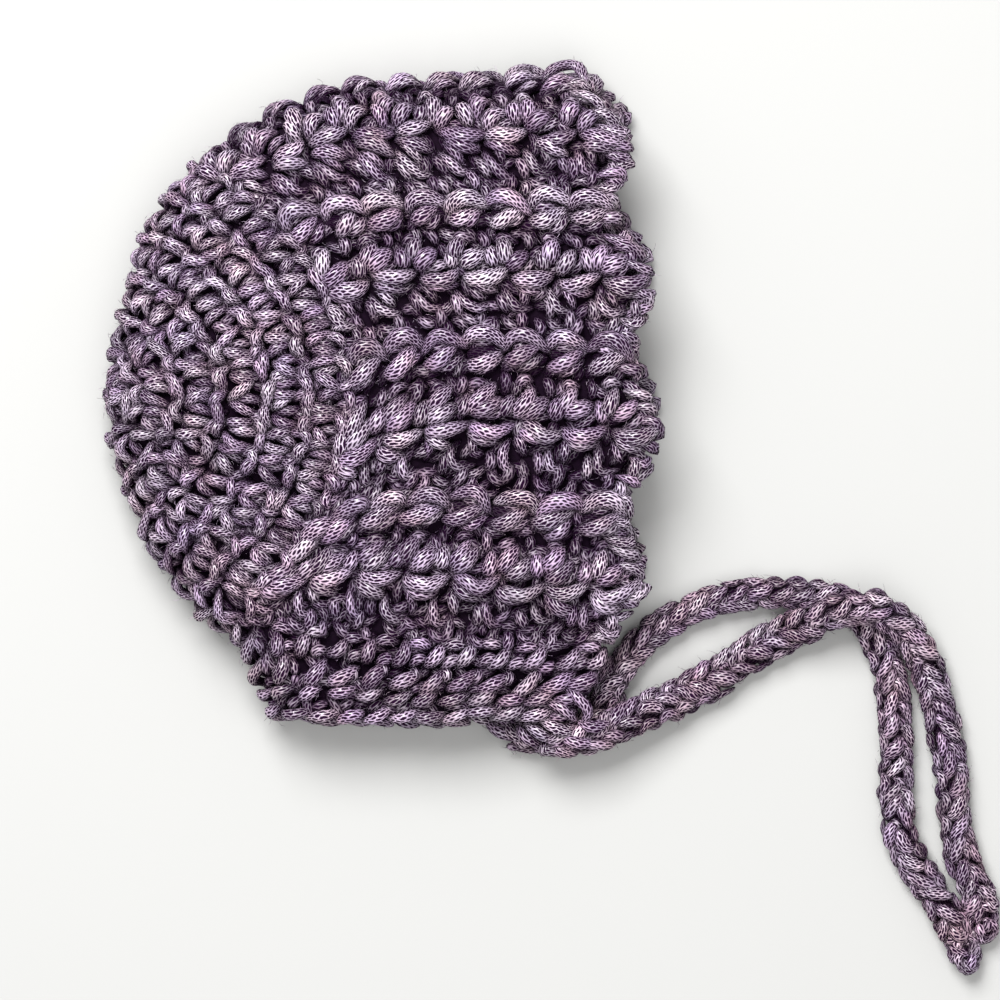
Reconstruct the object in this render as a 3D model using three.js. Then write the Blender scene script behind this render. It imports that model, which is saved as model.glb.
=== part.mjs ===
// A crocheted newborn bonnet lying on its side, in millimetres, +Z up out of the table.
// +X points to the face opening, +Y to the top of the head, and the origin is under the
// middle of the bonnet. The back of the head is a crown worked in rounds, the hood is
// worked in rows with raised ridges from the crown to the face, a band closes the neck,
// and a crocheted tie with a knotted end leaves each front corner of the band.
import * as THREE from "three";
import { mergeVertices } from "three/addons/utils/BufferGeometryUtils.js";

// Driving dimensions of the lying bonnet
const PIVOT_X = 7.74;         // centre of the rounded back outline
const BACK_RADIUS = 64.6;     // outer radius of that outline at the back
const TOP_CLIMB = 1.5;        // rise of the straight top fold towards the face
const TOP_CLIMB_LENGTH = 24;
const HALF_WALL = 2.75;       // half the thickness of the crown and hood
const BAND_HALF_WALL = 1.9;   // inner half of the thinner neck band
const PIECE_GAP = 0.3;
const BAND_GAP = 0.45;        // along the seam between the band and the slanting last rows
const FOLD_HEIGHT = 7.2;      // middle of the wall where it folds over
const HOOD_HEIGHT = 21;       // middle of the upper wall over the hood
const NECK_HEIGHT = 12.5;     // middle of the upper wall at the neck edge
const FOLD_SLACK = 4.7;       // wall length taken up by each half of the fold
const CROWN_RADIUS = 52;      // worked radius of the crown
const CROWN_ROUNDS = 6;
const ROUND_RELIEF = 0.9;
const SCALLOP = 5.8;          // how far the face edge bulges between ridges
const NECK_EDGE_Y = -68.9;
const TIE_WIDTH = 7.4;
const TIE_THICKNESS = 4.8;

const DEGREE = Math.PI / 180;
const mix = (a, b, t) => a + (b - a) * t;
const clamp01 = (t) => Math.min(1, Math.max(0, t));
const ease = (t) => clamp01(t) ** 2 * (3 - 2 * clamp01(t));

// One row for each ridge, counted from the one that runs along the top fold. "seam" and
// "face" are the lengths from the fold along the crown and along the face edge, positive
// on the upper side; "faceX" is where the row meets the face; "slope" is its start in degrees.
const ROWS = [
  { row: 3.86, seam: 113.4, face: 121.4, faceX: 46.3, slope: -10 },
  { row: 3, seam: 96.7, face: 94.4, faceX: 51.2, slope: 45 },
  { row: 2, seam: 58.5, face: 60.9, faceX: 52.7, slope: 24 },
  { row: 1, seam: 26.3, face: 30.9, faceX: 48.5, slope: 18 },
  { row: 0, seam: -5.4, face: 4.5, faceX: 42.8, slope: 10 },
  { row: -1, seam: -36, face: -26.9, faceX: 48.4, slope: 18 },
  { row: -2, seam: -66, face: -57, faceX: 52.2, slope: 22 },
  { row: -3, seam: -93, face: -90, faceX: 51, slope: 35 },
  { row: -4, seam: -113.4, face: -121.4, faceX: 46.3, slope: -10 },
];

function rowValue(row, column) {
  let i = 0;
  while (i < ROWS.length - 2 && row < ROWS[i + 1].row) i += 1;
  const upper = ROWS[i];
  const lower = ROWS[i + 1];
  return mix(upper[column], lower[column], (upper.row - row) / (upper.row - lower.row));
}

// The fold, seen from above: straight along the top in front of the pivot, round behind
// it, and straight again down the nape. All radii are to the middle of the wall. Above the
// back of the head the outline is fuller, and at the top some of that is gone again.
const NAPE_TOP = { angle: 234.6 * DEGREE, radius: BACK_RADIUS - HALF_WALL };
const NAPE_FOOT = { angle: 247.6 * DEGREE, radius: 72.4 };
const FULLER = { by: 2.7, from: 165 * DEGREE, over: 25 * DEGREE };
const EASED = { by: 1, from: 130 * DEGREE, over: 40 * DEGREE };
const onPolar = (p) => [p.radius * Math.cos(p.angle), p.radius * Math.sin(p.angle)];

function foldRadius(angle) {
  if (angle <= NAPE_TOP.angle) {
    const fuller = FULLER.by * ease((FULLER.from - angle) / FULLER.over);
    const eased = EASED.by * ease((EASED.from - angle) / EASED.over);
    return BACK_RADIUS - HALF_WALL + fuller - eased;
  }
  const [ax, ay] = onPolar(NAPE_TOP);
  const [bx, by] = onPolar(NAPE_FOOT);
  const along = [bx - ax, by - ay];
  const ray = [Math.cos(angle), Math.sin(angle)];
  return (ax * along[1] - ay * along[0]) / (ray[0] * along[1] - ray[1] * along[0]);
}

const foldTop = (x) => foldRadius(90 * DEGREE) + TOP_CLIMB * ease((x - PIVOT_X) / TOP_CLIMB_LENGTH);

// How the wall comes off the fold: a quarter ellipse walked by its own length, then flat.
// "reach" and "rise" are its half axes, and the result is how far in and how far up.
function foldProfile(reach, rise) {
  const steps = 60;
  const length = [0];
  const turn = (i) => (i / steps) * 90 * DEGREE;
  for (let i = 1; i <= steps; i += 1) {
    const inwards = reach * (Math.cos(turn(i - 1)) - Math.cos(turn(i)));
    const upwards = rise * (Math.sin(turn(i)) - Math.sin(turn(i - 1)));
    length.push(length[i - 1] + Math.hypot(inwards, upwards));
  }
  const scale = (reach + FOLD_SLACK) / length[steps];
  return (walked) => {
    const goal = walked / scale;
    if (goal >= length[steps]) return { inward: walked - FOLD_SLACK, up: 1 };
    let i = 1;
    while (length[i] < goal) i += 1;
    const a = turn(mix(i - 1, i, (goal - length[i - 1]) / (length[i] - length[i - 1])));
    return { inward: reach * (1 - Math.cos(a)), up: Math.sin(a) };
  };
}
const WIDE_REACH = 26;
const TIGHT_REACH = 5.5;
const wideFold = foldProfile(WIDE_REACH, HOOD_HEIGHT - FOLD_HEIGHT);
const tightFold = foldProfile(TIGHT_REACH, FOLD_HEIGHT - HALF_WALL);
const FLAT_FROM = WIDE_REACH + FOLD_SLACK;

// The upper wall rises from the neck to its full height, and its front neck corner sinks.
const RISE = { from: -72, over: 70 };
const CORNER = { drop: 3.5, x: 14, length: 26, y: -34, depth: 30 };

function upperHeight(x, y) {
  const risen = ease((y - RISE.from) / RISE.over);
  const corner = ease((x - CORNER.x) / CORNER.length) * ease((CORNER.y - y) / CORNER.depth);
  return mix(NECK_HEIGHT, HOOD_HEIGHT, risen) - CORNER.drop * corner;
}

// A place on the fabric is {s, q}: s runs along the fold, negative behind the pivot, and
// q is the fabric length from the fold, positive on the upper side. The wide fold of the
// upper wall turns into a tight one down the nape.
const S_RADIUS = 65;
const NARROWING = { from: 200 * DEGREE, over: 32 * DEGREE };
const angleOf = (s) => 90 * DEGREE - s / S_RADIUS;

function wallMiddle(s, q) {
  const angle = angleOf(Math.min(s, 0));
  const roundness = 1 - ease((angle - NARROWING.from) / NARROWING.over);
  const walked = Math.abs(q);
  const tight = tightFold(walked);
  const wide = wideFold(walked);
  const open = q > 0 ? roundness : 0;
  const inward = mix(tight.inward, wide.inward, open);
  const up = mix(tight.up, wide.up, open);
  const reach = s >= 0 ? foldTop(PIVOT_X + s) - inward : foldRadius(angle) - inward;
  const x = s >= 0 ? PIVOT_X + s : PIVOT_X + reach * Math.cos(angle);
  const y = s >= 0 ? reach : reach * Math.sin(angle);
  const far = q > 0 ? upperHeight(x, y) : HALF_WALL;
  return new THREE.Vector3(x, y, mix(FOLD_HEIGHT, far, up));
}

// The same fabric laid out flat, one side at a time, so that rows and rounds can be drawn
// on it as straight lines and circles.
function flatToFold(x, y) {
  if (x >= PIVOT_X) return { s: x - PIVOT_X, q: foldTop(x) + FOLD_SLACK - y };
  const angle = (Math.atan2(y, x - PIVOT_X) + 360 * DEGREE) % (360 * DEGREE);
  const q = foldRadius(angle) + FOLD_SLACK - Math.hypot(x - PIVOT_X, y);
  return { s: (90 * DEGREE - angle) * S_RADIUS, q };
}

function foldToFlat(s, q) {
  if (s >= 0) return [PIVOT_X + s, foldTop(PIVOT_X + s) + FOLD_SLACK - q];
  const reach = foldRadius(angleOf(s)) + FOLD_SLACK - q;
  return [PIVOT_X + reach * Math.cos(angleOf(s)), reach * Math.sin(angleOf(s))];
}

// The middle of the wall and its outward direction, near the fold or out on the flat
function wallAt(s, q) {
  const small = 0.05;
  const smooth = 3;
  const side = q < 0 ? -1 : 1;
  if (Math.abs(q) > FLAT_FROM) {
    const [x, y] = foldToFlat(s, Math.abs(q));
    return wallOnFlat(x, y, side);
  }
  const across = wallMiddle(s, q + small).sub(wallMiddle(s, q - small));
  const along = wallMiddle(s + smooth, q).sub(wallMiddle(s - smooth, q));
  return { middle: wallMiddle(s, q), out: along.cross(across).normalize().negate() };
}

function wallOnFlat(x, y, side) {
  const { s, q } = flatToFold(x, y);
  if (q < FLAT_FROM) return wallAt(s, side * q);
  if (side < 0) return { middle: new THREE.Vector3(x, y, HALF_WALL), out: new THREE.Vector3(0, 0, -1) };
  const step = 0.5;
  const leanX = (upperHeight(x + step, y) - upperHeight(x - step, y)) / (2 * step);
  const leanY = (upperHeight(x, y + step) - upperHeight(x, y - step)) / (2 * step);
  const middle = new THREE.Vector3(x, y, upperHeight(x, y));
  return { middle, out: new THREE.Vector3(-leanX, -leanY, 1).normalize() };
}

// The crown is a disc about a point on the back fold. Its edge is measured by the angle
// from the line that runs forward, and it meets the fold above and below. Towards the nape
// it grows longer.
const CROWN_X = PIVOT_X - foldRadius(180 * DEGREE) - FOLD_SLACK;

function foldAngle(radius, towardsTop) {
  let low = 40 * DEGREE;
  let high = 100 * DEGREE;
  for (let i = 0; i < 40; i += 1) {
    const angle = (low + high) / 2;
    const x = CROWN_X + radius * Math.cos(angle);
    const y = radius * Math.sin(angle) * (towardsTop ? 1 : -1);
    if (flatToFold(x, y).q > 0) low = angle;
    else high = angle;
  }
  return low;
}
const GROWTH = { by: 9, from: 45 * DEGREE, over: 20 * DEGREE, foot: 63 * DEGREE };
const crownEdge = (angle) => CROWN_RADIUS + GROWTH.by * ease((-angle - GROWTH.from) / GROWTH.over);
const SEAM_TOP = foldAngle(CROWN_RADIUS, true);
const SEAM_FOOT = foldAngle(crownEdge(-GROWTH.foot), false);
const seamAngle = (seam) => SEAM_TOP - Math.abs(seam) / CROWN_RADIUS;

function crownFlat(share, angle, grow) {
  const radius = share * crownEdge(angle) + grow;
  const limit = angle > 0 ? SEAM_TOP : SEAM_FOOT;
  const held = foldAngle(Math.max(radius, 0.5), angle > 0);
  const turned = (angle / limit) * held;
  return [CROWN_X + radius * Math.cos(turned), radius * Math.sin(turned)];
}

function crownPoint(share, angle, side, grow) {
  const { s, q } = flatToFold(...crownFlat(share, angle, grow));
  return wallAt(s, side * Math.max(q, 0));
}

// Where on the fabric the hood is at a share of the way along a row. Rows next to the fold
// follow it and may cross it; the others run as a curve from the crown to the face edge.
const FOLD_FOLLOWING = { to: 2, over: 22 };

function hoodFabric(share, row) {
  const seam = rowValue(row, "seam");
  const face = rowValue(row, "face");
  const faceX = rowValue(row, "faceX") + SCALLOP * Math.sin(Math.PI * row) ** 2;
  const from = crownFlat(1, seamAngle(seam), PIECE_GAP / 2);
  const start = flatToFold(...from);
  const s = mix(start.s, faceX - PIVOT_X, share);
  const q = mix(Math.sign(seam) * Math.max(start.q, 0), face, share);
  const depth = seam * face > 0 ? Math.min(Math.abs(seam), Math.abs(face)) : 0;
  const away = ease((depth - FOLD_FOLLOWING.to) / FOLD_FOLLOWING.over);
  if (away === 0) return { s, q };
  const to = [faceX, foldTop(faceX) + FOLD_SLACK - Math.abs(face)];
  const pull = Math.hypot(to[0] - from[0], to[1] - from[1]) / 3;
  const slope = rowValue(row, "slope") * DEGREE;
  const curve = new THREE.CubicBezierCurve(
    new THREE.Vector2(...from),
    new THREE.Vector2(from[0] + pull * Math.cos(slope), from[1] + pull * Math.sin(slope)),
    new THREE.Vector2(to[0] - pull, to[1] - pull / 20),
    new THREE.Vector2(...to),
  );
  const straight = curve.getPoint(share);
  const folded = foldToFlat(s, Math.abs(q));
  const place = flatToFold(mix(folded[0], straight.x, away), mix(folded[1], straight.y, away));
  return { s: place.s, q: place.q * Math.sign(face) };
}

// Closes a patch of wall into a solid: the outer skin, the inner skin and the rim between
function wallSolid(spots, faces) {
  const points = [];
  const skin = (spot, offset) => {
    const p = spot.middle.clone().addScaledVector(spot.out, offset);
    points.push(p.x, p.y, Math.max(p.z, 0));
  };
  spots.forEach((spot) => skin(spot, spot.outer));
  spots.forEach((spot) => skin(spot, -spot.inner));
  const inner = spots.length;
  const index = [];
  const edges = new Set();
  faces.forEach(([a, b, c]) => {
    index.push(a, b, c, inner + a, inner + c, inner + b);
    [[a, b], [b, c], [c, a]].forEach(([from, to]) => edges.add(`${from} ${to}`));
  });
  edges.forEach((edge) => {
    const [from, to] = edge.split(" ").map(Number);
    if (!edges.has(`${to} ${from}`)) {
      index.push(to, from, inner + from, to, inner + from, inner + to);
    }
  });
  const geometry = new THREE.BufferGeometry();
  geometry.setAttribute("position", new THREE.Float32BufferAttribute(points, 3));
  geometry.setIndex(outwards(points, index));
  return geometry;
}

function outwards(points, index) {
  const corner = (i) => new THREE.Vector3(points[3 * i], points[3 * i + 1], points[3 * i + 2]);
  let volume = 0;
  for (let i = 0; i < index.length; i += 3) {
    volume += corner(index[i]).dot(corner(index[i + 1]).cross(corner(index[i + 2])));
  }
  if (volume > 0) return index;
  return index.map((value, i) => (i % 3 === 1 ? index[i + 1] : i % 3 === 2 ? index[i - 1] : value));
}

function gridFaces(rows, columns) {
  const faces = [];
  for (let i = 0; i < rows - 1; i += 1) {
    for (let j = 0; j < columns - 1; j += 1) {
      const a = i * columns + j;
      const b = a + columns;
      faces.push([a, b, b + 1], [a, b + 1, a + 1]);
    }
  }
  return faces;
}

// Rows and columns at which the hood is sampled: close together where the fold is tight
const UPPER_ROWS = [3.86, 3.7, 3.5, 3.3, 3.1, 3, 2.9, 2.7, 2.5, 2.3, 2.1, 2, 1.9, 1.7, 1.5, 1.3, 1.1,
  1, 0.9, 0.7, 0.5, 0.35, 0.25];
const FOLD_ROWS = [0.17, 0.1, 0.03, -0.04, -0.11, -0.18, -0.26, -0.34, -0.42, -0.52];
const LOWER_ROWS = [-0.7, -0.9, -1, -1.1, -1.35, -1.65, -1.9, -2, -2.1, -2.35, -2.65, -2.9, -3,
  -3.1, -3.4, -3.7, -4];
const HOOD_ROWS = [...UPPER_ROWS, ...FOLD_ROWS, ...LOWER_ROWS];
const ALONG_ROW = [0, 0.05, 0.11, 0.18, 0.27, 0.37, 0.48, 0.59, 0.7, 0.81, 0.91, 1];

// A sharp ridge stands on each whole row, and soft stitches fill the rows between
const RIDGE = { relief: 1.9, width: 0.13 };
const PUFF = { relief: 0.9, off: 0.42, width: 0.22 };

function ridgeRelief(row) {
  const off = Math.abs(row - Math.round(row));
  const ridge = RIDGE.relief * (1 - ease(off / RIDGE.width));
  const puff = PUFF.relief * ease(1 - Math.abs(off - PUFF.off) / PUFF.width);
  return ridge + puff;
}

function hoodPanel() {
  const spots = [];
  HOOD_ROWS.forEach((row) => {
    ALONG_ROW.forEach((share) => {
      const { s, q } = hoodFabric(share, row);
      spots.push({ ...wallAt(s, q), outer: HALF_WALL + ridgeRelief(row), inner: HALF_WALL });
    });
  });
  return wallSolid(spots, gridFaces(HOOD_ROWS.length, ALONG_ROW.length));
}

// The places round the crown's edge: those of the hood's rows, and three more on each side
// of the nape, where the crown meets the neck band.
const NAPE_STEPS = [0.3, 0.62, 0.87];
const napeAngle = (step) => -mix(-seamAngle(ROWS[0].seam), SEAM_FOOT, step);

function crownStations() {
  const stations = HOOD_ROWS.map((row) => {
    const seam = rowValue(row, "seam");
    return { angle: seamAngle(seam), side: Math.sign(seam) || 1 };
  });
  NAPE_STEPS.forEach((step) => stations.push({ angle: napeAngle(step), side: -1 }));
  stations.push({ angle: napeAngle(1), side: 1 });
  [...NAPE_STEPS].reverse().forEach((step) => stations.push({ angle: napeAngle(step), side: 1 }));
  return stations;
}

function crown() {
  const stations = crownStations();
  const around = stations.length;
  const rings = CROWN_ROUNDS * 2;
  const spots = [{ ...wallAt(flatToFold(CROWN_X, 0).s, 0), outer: HALF_WALL, inner: HALF_WALL }];
  for (let ring = 1; ring <= rings; ring += 1) {
    const grow = ring === rings ? -PIECE_GAP / 2 : 0;
    const relief = ring % 2 === 1 ? ROUND_RELIEF : 0;
    stations.forEach(({ angle, side }) => {
      const place = crownPoint(ring / rings, angle, side, grow);
      spots.push({ ...place, outer: HALF_WALL + relief, inner: HALF_WALL });
    });
  }
  const faces = [];
  for (let j = 0; j < around; j += 1) {
    const next = (j + 1) % around;
    faces.push([0, 1 + j, 1 + next]);
    for (let ring = 0; ring < rings - 1; ring += 1) {
      const a = 1 + ring * around;
      const b = a + around;
      faces.push([a + j, b + j, b + next], [a + j, b + next, a + next]);
    }
  }
  return wallSolid(spots, faces);
}

// The band hangs from the hood's last row on each side and from the crown at the nape.
// Its lower edge is straight, and rounds the nape with the fold.
const BAND_DEPTHS = [0, 0.28, 0.55, 0.8, 1];
const CHAIN = { depth: 0.8, relief: 0.8 };
const HEM_THINNING = 0.5;
const BAND_FRONT_X = 39.6;
const BAND_BACK_X = -17.2;

function bandStations() {
  const foot = foldToFlat((90 * DEGREE - NAPE_FOOT.angle) * S_RADIUS, 0);
  const hem = (share) => [mix(BAND_BACK_X, BAND_FRONT_X, share), NECK_EDGE_Y];
  const stations = [];
  const alongHood = (share, side) => {
    const row = side > 0 ? ROWS[0].row : ROWS[ROWS.length - 1].row;
    const { s, q } = hoodFabric(share, row);
    const [x, y] = foldToFlat(s, Math.abs(q));
    stations.push({ top: [x, y - BAND_GAP], hem: hem(share), side });
  };
  const atNape = (step, side) => {
    const angle = napeAngle(step);
    const radius = crownEdge(angle) + PIECE_GAP;
    const top = [CROWN_X + radius * Math.cos(angle), radius * Math.sin(angle)];
    stations.push({ top, hem: [mix(BAND_BACK_X, foot[0], step), mix(NECK_EDGE_Y, foot[1], step)], side });
  };
  [...ALONG_ROW].reverse().forEach((share) => alongHood(share, 1));
  NAPE_STEPS.forEach((step) => atNape(step, 1));
  atNape(1, 1);
  [...NAPE_STEPS].reverse().forEach((step) => atNape(step, -1));
  ALONG_ROW.forEach((share) => alongHood(share, -1));
  return stations;
}

function neckBand() {
  const stations = bandStations();
  const spots = [];
  stations.forEach(({ top, hem, side }) => {
    BAND_DEPTHS.forEach((depth) => {
      const place = wallOnFlat(mix(top[0], hem[0], depth), mix(top[1], hem[1], depth), side);
      const chain = depth === CHAIN.depth ? CHAIN.relief : 0;
      const thinner = depth === 1 ? HEM_THINNING : 0;
      spots.push({ ...place, outer: HALF_WALL + chain - thinner, inner: BAND_HALF_WALL });
    });
  });
  return wallSolid(spots, gridFaces(stations.length, BAND_DEPTHS.length));
}

// Routes of the two ties along their middles, from the band's front corners to the knots
const NEAR_TIE_ROUTE = [
  [34, -73.2, 8.8], [40, -73.3, 8.7], [46, -71.6, 8.4], [54, -68, 6.6], [60.5, -65.2, 4.4],
  [67, -62, 3], [77.5, -55.2, 2.6], [84.5, -50.9, 3.3], [89.5, -48, 5.3], [94.5, -45.6, 7.2],
  [99.6, -44.1, 7.8], [105.4, -44.9, 7.6], [110, -48.4, 6.2], [113.2, -53.4, 4.2],
  [116.3, -60.4, 2.7], [118.6, -69.1, 2.5], [119.9, -78.2, 2.5], [120.5, -87.2, 2.5],
  [121.3, -93.4, 2.5], [123, -98.6, 2.5], [125, -102.6, 2.5], [126.2, -105.8, 2.5], [126.7, -108.3, 2.5],
];
const FAR_TIE_ROUTE = [
  [27.5, -73.4, 2.5], [34, -74.4, 2.5], [40, -73.6, 2.5], [44.4, -70.4, 2.5], [47, -65.6, 2.5],
  [49.2, -60.2, 2.5], [52.4, -54.8, 2.5], [57, -49.9, 2.5], [63.6, -45.8, 2.5], [72.4, -42.6, 2.5],
  [84, -41.2, 2.5], [94.4, -42.8, 2.5], [101, -46.9, 2.5], [104.8, -52.6, 2.5], [107.2, -59.4, 2.5],
  [108.2, -66.9, 2.5], [108.3, -75.4, 2.5], [108.4, -84.2, 2.5], [109.3, -92, 2.5], [111.6, -98.6, 2.5],
  [114.6, -104, 2.5], [117.2, -108.6, 2.5], [118.7, -112, 2.5], [119.7, -115.2, 2.5],
];
const NEAR_KNOT = { middle: [126.9, -112.8, 2.5], size: [7.4, 7.8, 5] };
const FAR_KNOT = { middle: [121.6, -119.6, 2.5], size: [7, 7.2, 5] };
const TIE_SIDES = 10;
const TIE_STEPS = 30;

function tie(route) {
  const outline = new THREE.Shape();
  for (let i = 0; i < TIE_SIDES; i += 1) {
    const turn = ((i + 0.5) / TIE_SIDES) * 360 * DEGREE;
    const spot = [(TIE_THICKNESS / 2) * Math.cos(turn), (TIE_WIDTH / 2) * Math.sin(turn)];
    if (i === 0) outline.moveTo(...spot);
    else outline.lineTo(...spot);
  }
  outline.closePath();
  const path = new THREE.CatmullRomCurve3(route.map((p) => new THREE.Vector3(...p)));
  const tube = new THREE.ExtrudeGeometry(outline, { steps: TIE_STEPS, extrudePath: path });
  tube.deleteAttribute("normal");
  tube.deleteAttribute("uv");
  return mergeVertices(tube, 1e-3);
}

function knot(size) {
  const ball = new THREE.SphereGeometry(0.5, 12, 8);
  ball.deleteAttribute("normal");
  ball.deleteAttribute("uv");
  const merged = mergeVertices(ball, 1e-4);
  merged.scale(...size);
  return merged;
}

const YARN = new THREE.MeshStandardMaterial({ color: 0x6a5a6c, roughness: 0.62, metalness: 0 });
const bonnet = new THREE.Group();

function addPiece(name, geometry, position = [0, 0, 0]) {
  const mesh = new THREE.Mesh(geometry, YARN.clone());
  mesh.name = name;
  mesh.position.set(...position);
  bonnet.add(mesh);
}

addPiece("crown", crown());
addPiece("hood_panel", hoodPanel());
addPiece("neck_band", neckBand());
addPiece("near_tie", tie(NEAR_TIE_ROUTE));
addPiece("near_tie_knot", knot(NEAR_KNOT.size), NEAR_KNOT.middle);
addPiece("far_tie", tie(FAR_TIE_ROUTE));
addPiece("far_tie_knot", knot(FAR_KNOT.size), FAR_KNOT.middle);

export default bonnet;
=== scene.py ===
# A crocheted newborn bonnet that lies on its side, with both ties running out in front.
# Lengths on the fabric are in millimetres and become metres where a mesh is made.
import math

import bpy
import numpy as np
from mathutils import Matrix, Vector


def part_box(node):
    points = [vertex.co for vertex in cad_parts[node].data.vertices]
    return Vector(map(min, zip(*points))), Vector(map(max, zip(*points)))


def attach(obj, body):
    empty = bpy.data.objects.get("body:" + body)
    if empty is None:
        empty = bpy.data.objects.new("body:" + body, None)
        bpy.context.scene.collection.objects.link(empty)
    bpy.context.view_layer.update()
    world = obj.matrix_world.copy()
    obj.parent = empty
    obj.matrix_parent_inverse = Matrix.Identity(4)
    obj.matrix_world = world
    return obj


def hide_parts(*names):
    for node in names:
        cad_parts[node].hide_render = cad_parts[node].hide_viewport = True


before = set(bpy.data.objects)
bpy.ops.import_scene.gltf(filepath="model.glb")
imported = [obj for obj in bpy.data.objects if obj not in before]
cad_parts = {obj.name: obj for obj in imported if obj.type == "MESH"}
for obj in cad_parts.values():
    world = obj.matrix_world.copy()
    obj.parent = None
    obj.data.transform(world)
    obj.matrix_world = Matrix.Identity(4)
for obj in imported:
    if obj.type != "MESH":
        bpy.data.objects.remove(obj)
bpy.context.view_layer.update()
bpy.ops.object.select_all(action="DESELECT")
chance = np.random.default_rng(27)
MM = 0.001

# Camera
# It hangs straight above the bonnet, as in the photo, and far up, so that the raised side
# of the bonnet keeps its size. The picture is square and 212 mm wide on the floor.
PICTURE_WIDTH = 212 * MM
PICTURE_CENTRE = (24.9 * MM, -22.05 * MM)
CAMERA_HEIGHT = 1.6
CAMERA_SEES_TO = 10
SENSOR = 36
bpy.ops.object.camera_add(location=(*PICTURE_CENTRE, CAMERA_HEIGHT), rotation=(0, 0, 0))
camera = bpy.context.object
camera.name = "camera"
camera.data.sensor_width = SENSOR
camera.data.lens = SENSOR * CAMERA_HEIGHT / PICTURE_WIDTH
camera.data.clip_end = CAMERA_SEES_TO
bpy.context.scene.camera = camera

# Ties
# Two cords crocheted from the same tape yarn, a double chain about 8 mm wide. Each leaves
# a front corner of the neck band, and the near one passes over the far one.
TIE_WIDTH = 7.8
NEAR_TIE_ROUTE = [
    (34, -72.2, 8.8), (40, -72.1, 8.7), (46, -71.0, 8.4), (54, -68, 6.6), (60.5, -65.2, 4.4),
    (67, -62, 3), (77.5, -55.2, 2.6), (84.5, -50.9, 3.3), (89.5, -48, 5.3), (94.5, -45.6, 7.2),
    (99.6, -44.1, 7.8), (105.4, -44.9, 7.6), (110, -48.4, 6.2), (113.2, -53.4, 4.2),
    (116.3, -60.4, 2.7), (118.6, -69.1, 2.5), (119.9, -78.2, 2.5), (120.5, -87.2, 2.5),
    (121.3, -93.4, 2.5), (123, -98.6, 2.5), (125, -102.6, 2.5), (126.2, -105.8, 2.5), (126.7, -108.3, 2.5),
]
FAR_TIE_ROUTE = [
    (27.5, -71.6, 2.5), (34, -72.3, 2.5), (40, -72.2, 2.5), (44.4, -69.9, 2.5), (47, -65.6, 2.5),
    (49.2, -60.2, 2.5), (52.4, -54.8, 2.5), (57, -49.9, 2.5), (63.6, -45.8, 2.5), (72.4, -42.6, 2.5),
    (84, -41.2, 2.5), (94.4, -42.8, 2.5), (101, -46.9, 2.5), (104.8, -52.6, 2.5), (107.2, -59.4, 2.5),
    (108.2, -66.9, 2.5), (108.3, -75.4, 2.5), (108.4, -84.2, 2.5), (109.5, -92, 2.5), (112.3, -98.4, 2.5),
    (115.6, -103.4, 2.6), (118.6, -108, 2.8), (120.6, -111.6, 3), (121.7, -114.8, 3),
]
DEGREE = math.pi / 180
FLATNESS = 0.68
LEAF_SHAPE = 0.68
FLOOR_CLEARANCE = 0.03
# A strand's top is unshaded from this height over the fabric, and dark SHADE_RANGE lower
SHADE_FREE = 4.1
SHADE_RANGE = 2.9
USUAL_HEIGHT = 3.2
FLANK_SHADE = 0.7
MOST_FLANK_SHADE = 0.58
FIBRE_WIDTH = 0.045
FIBRE_REACH = (0.6, 2.2)
FIBRE_SWAY = 0.35
END_TAPER = 0.3


def unit(vectors):
    return vectors / np.maximum(np.linalg.norm(vectors, axis=-1, keepdims=True), 1e-9)


def smooth_through(points, count):
    """Smooth lines through the points of one strand or of many at once."""
    points = np.asarray(points, float)
    before = 2 * points[..., :1, :] - points[..., 1:2, :]
    after = 2 * points[..., -1:, :] - points[..., -2:-1, :]
    points = np.concatenate([before, points, after], axis=-2)
    place = np.linspace(0, points.shape[-2] - 3, count)
    first = np.minimum(place.astype(int), points.shape[-2] - 4)
    t = (place - first)[:, None]
    a, b, c, d = (points[..., first + i, :] for i in range(4))
    return b + 0.5 * t * (c - a + t * (2 * a - 5 * b + 4 * c - d + t * (3 * (b - c) + d - a)))


def strands(middle, out, half_width, half_height, sides, depth, height=None, end=END_TAPER):
    """Flattened round strands of yarn along many middle lines: one patch of a yarn mesh.
    Where the height over the fabric is given, what lies low gets painted shade; the flanks that turn down
    get it too, and the depth adds more to the whole strand."""
    count, rings = middle.shape[:2]
    tangent = unit(np.gradient(middle, axis=1))
    across = unit(np.cross(tangent, out))
    up = np.cross(across, tangent)
    share = np.linspace(0, 1, rings)
    taper = end + (1 - end) * np.sin(np.pi * share) ** LEAF_SHAPE
    wide = np.asarray(half_width).reshape(-1, 1) * taper
    tall = np.asarray(half_height).reshape(-1, 1) * taper
    turn = (np.arange(sides) + 0.5) / sides * 2 * np.pi
    points = (
        middle[:, :, None]
        + across[:, :, None] * (wide[:, :, None] * np.cos(turn))[..., None]
        + up[:, :, None] * (tall[:, :, None] * np.sin(turn))[..., None]
    )
    points[..., 2] = np.maximum(points[..., 2], FLOOR_CLEARANCE)
    step = np.linalg.norm(np.diff(middle, axis=1), axis=-1)
    along = np.concatenate([np.zeros((count, 1)), np.cumsum(step, axis=1)], axis=1)
    girth = np.pi * (wide.max(axis=1) + tall.max(axis=1))
    lift = np.full((count, rings), USUAL_HEIGHT) if height is None else np.reshape(height, (count, rings))
    top = lift[..., None] + tall[:, :, None] * np.sin(turn)
    flank = np.minimum(FLANK_SHADE * (1 - np.sin(turn)) ** 1.5, MOST_FLANK_SHADE)
    # Painted shade: low tops, down-turned flanks and the given depth
    shade = np.clip((SHADE_FREE - top) / SHADE_RANGE, 0, 1) ** 1.2 + flank + depth
    return {"points": points, "along": along + chance.uniform(0, 40, (count, 1)), "girth": girth,
            "shade": np.clip(shade, 0, 1), "lot": chance.random(count)}


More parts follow.
